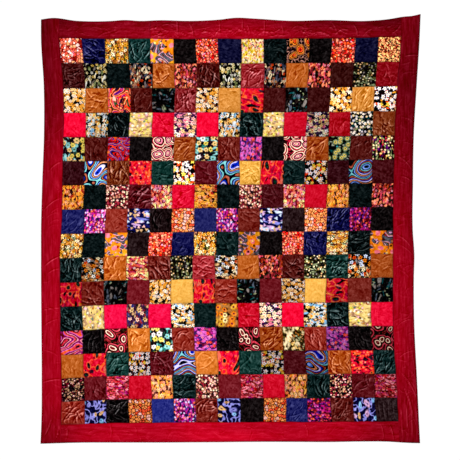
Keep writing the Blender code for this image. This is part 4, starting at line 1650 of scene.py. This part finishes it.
# The stage: the floor's size and how far below the quilt it lies, in metres, the strengths of the
# light from all round and from the window, the window's spread and turns in degrees, the lens and
# film in millimetres, the place that the camera hangs over, and how much of the floor it shows.
FLOOR_SIZE = 120.0
FLOOR_GAP = 0.0005
SURROUND_LIGHT = 0.36
WINDOW_LIGHT = 3.45
WINDOW_SPREAD = 24
WINDOW_TURN = (-38, -28, 0)
LENS = 70.0
FILM_WIDTH = 36.0
CAMERA_OVER = (-0.003, -0.007)
SHOWN_WIDTH = 2.645


# Operators

class QUILT_OT_stage(Operator):
    """Sets up the pale floor, the soft studio light and the camera straight above the quilt"""

    bl_idname = "quilt.stage"
    bl_label = "Stage"

    def execute(self, context):
        bpy.ops.mesh.primitive_plane_add(size=FLOOR_SIZE, location=(0.0, 0.0, -FLOOR_GAP))
        floor = context.object
        floor.name = "floor"
        finish = Finish("floor_paper", context.scene.quilt_inks)
        finish.shader.inputs["Base Color"].default_value = (*context.scene.quilt_colours.floor, 1.0)
        finish.shader.inputs["Roughness"].default_value = 0.9
        finish.shader.inputs["Specular IOR Level"].default_value = 0.0
        floor.data.materials.append(finish.material)

        world = bpy.data.worlds.new("studio")
        world.use_nodes = True
        surround = world.node_tree.nodes["Background"]
        surround.inputs["Color"].default_value = (1.0, 1.0, 1.0, 1.0)
        surround.inputs["Strength"].default_value = SURROUND_LIGHT
        context.scene.world = world
        sun = bpy.data.lights.new("window_light", "SUN")
        sun.energy = WINDOW_LIGHT
        sun.angle = math.radians(WINDOW_SPREAD)
        lamp = bpy.data.objects.new("window_light", sun)
        lamp.rotation_euler = tuple(math.radians(turn) for turn in WINDOW_TURN)
        context.scene.collection.objects.link(lamp)

        lens = bpy.data.cameras.new("camera")
        lens.lens = LENS
        lens.sensor_width = FILM_WIDTH
        camera = bpy.data.objects.new("camera", lens)
        camera.location = (*CAMERA_OVER, SHOWN_WIDTH * LENS / FILM_WIDTH)
        context.scene.collection.objects.link(camera)
        context.scene.camera = camera
        context.scene.view_settings.view_transform = "Standard"
        return {"FINISHED"}


class QUILT_OT_pieced_rows(Operator):
    """Makes the sixteen pieced rows of velvet patches"""

    bl_idname = "quilt.pieced_rows"
    bl_label = "Pieced rows"

    def execute(self, context):
        for index in range(ROWS):
            pieced_row(index, context.scene.quilt_sizes)
        return {"FINISHED"}


class QUILT_OT_border(Operator):
    """Makes the five strips of the border"""

    bl_idname = "quilt.border"
    bl_label = "Border"

    def execute(self, context):
        sizes = context.scene.quilt_sizes
        cells = sizes.border_cells
        outward = np.sin(np.linspace(0, math.pi / 2, cells))
        inward = -outward[::-1]
        middle = np.linspace(0, ROWS, ROWS * cells + 1)
        length = np.concatenate([inward[:-1], middle, ROWS + outward[1:]])
        border_strip("border_left", inward, length, ("right",), sizes, (BORDER_WIDTH, QUILT_LENGTH))
        border_strip("border_right", COLUMNS + outward, length, ("left",), sizes,
                     (BORDER_WIDTH, QUILT_LENGTH))
        tops = (("border_top_short", 0, TOP_JOIN_COLUMN), ("border_top_long", TOP_JOIN_COLUMN, COLUMNS))
        for name, first, last in tops:
            columns = np.linspace(first, last, (last - first) * cells + 1)
            flat = ((last - first) * PATCH_WIDTH, BORDER_WIDTH)
            border_strip(name, columns, inward, ("left", "right", "bottom"), sizes, flat)
        columns = np.linspace(0, COLUMNS, COLUMNS * cells + 1)
        flat = (COLUMNS * PATCH_WIDTH, BORDER_WIDTH)
        border_strip("border_bottom", columns, ROWS + outward, ("left", "right", "top"), sizes, flat)
        return {"FINISHED"}


class QUILT_PT_panel(Panel):
    """The quilt's pieces, sizes and colours"""

    bl_idname = "QUILT_PT_panel"
    bl_label = "Patchwork quilt"
    bl_space_type = "VIEW_3D"
    bl_region_type = "UI"
    bl_category = "Quilt"

    def draw(self, context):
        for operator in (QUILT_OT_stage, QUILT_OT_pieced_rows, QUILT_OT_border):
            self.layout.operator(operator.bl_idname)
        for group in (context.scene.quilt_sizes, context.scene.quilt_colours, context.scene.quilt_inks):
            box = self.layout.box()
            for name in group.__annotations__:
                box.prop(group, name)


CLASSES = (
    QuiltSizes, QuiltColours, QuiltInks, QUILT_OT_stage, QUILT_OT_pieced_rows, QUILT_OT_border,
    QUILT_PT_panel,
)


def register():
    """Adds the quilt's properties, operators and panel."""
    for entry in CLASSES:
        bpy.utils.register_class(entry)
    bpy.types.Scene.quilt_sizes = PointerProperty(type=QuiltSizes)
    bpy.types.Scene.quilt_colours = PointerProperty(type=QuiltColours)
    bpy.types.Scene.quilt_inks = PointerProperty(type=QuiltInks)


def unregister():
    """Takes them away again."""
    for name in ("quilt_inks", "quilt_colours", "quilt_sizes"):
        delattr(bpy.types.Scene, name)
    for entry in reversed(CLASSES):
        bpy.utils.unregister_class(entry)


def main():
    """Makes the quilt on its stage."""
    register()
    bpy.ops.quilt.stage()
    bpy.ops.quilt.pieced_rows()
    bpy.ops.quilt.border()


if __name__ == "__main__":
    main()
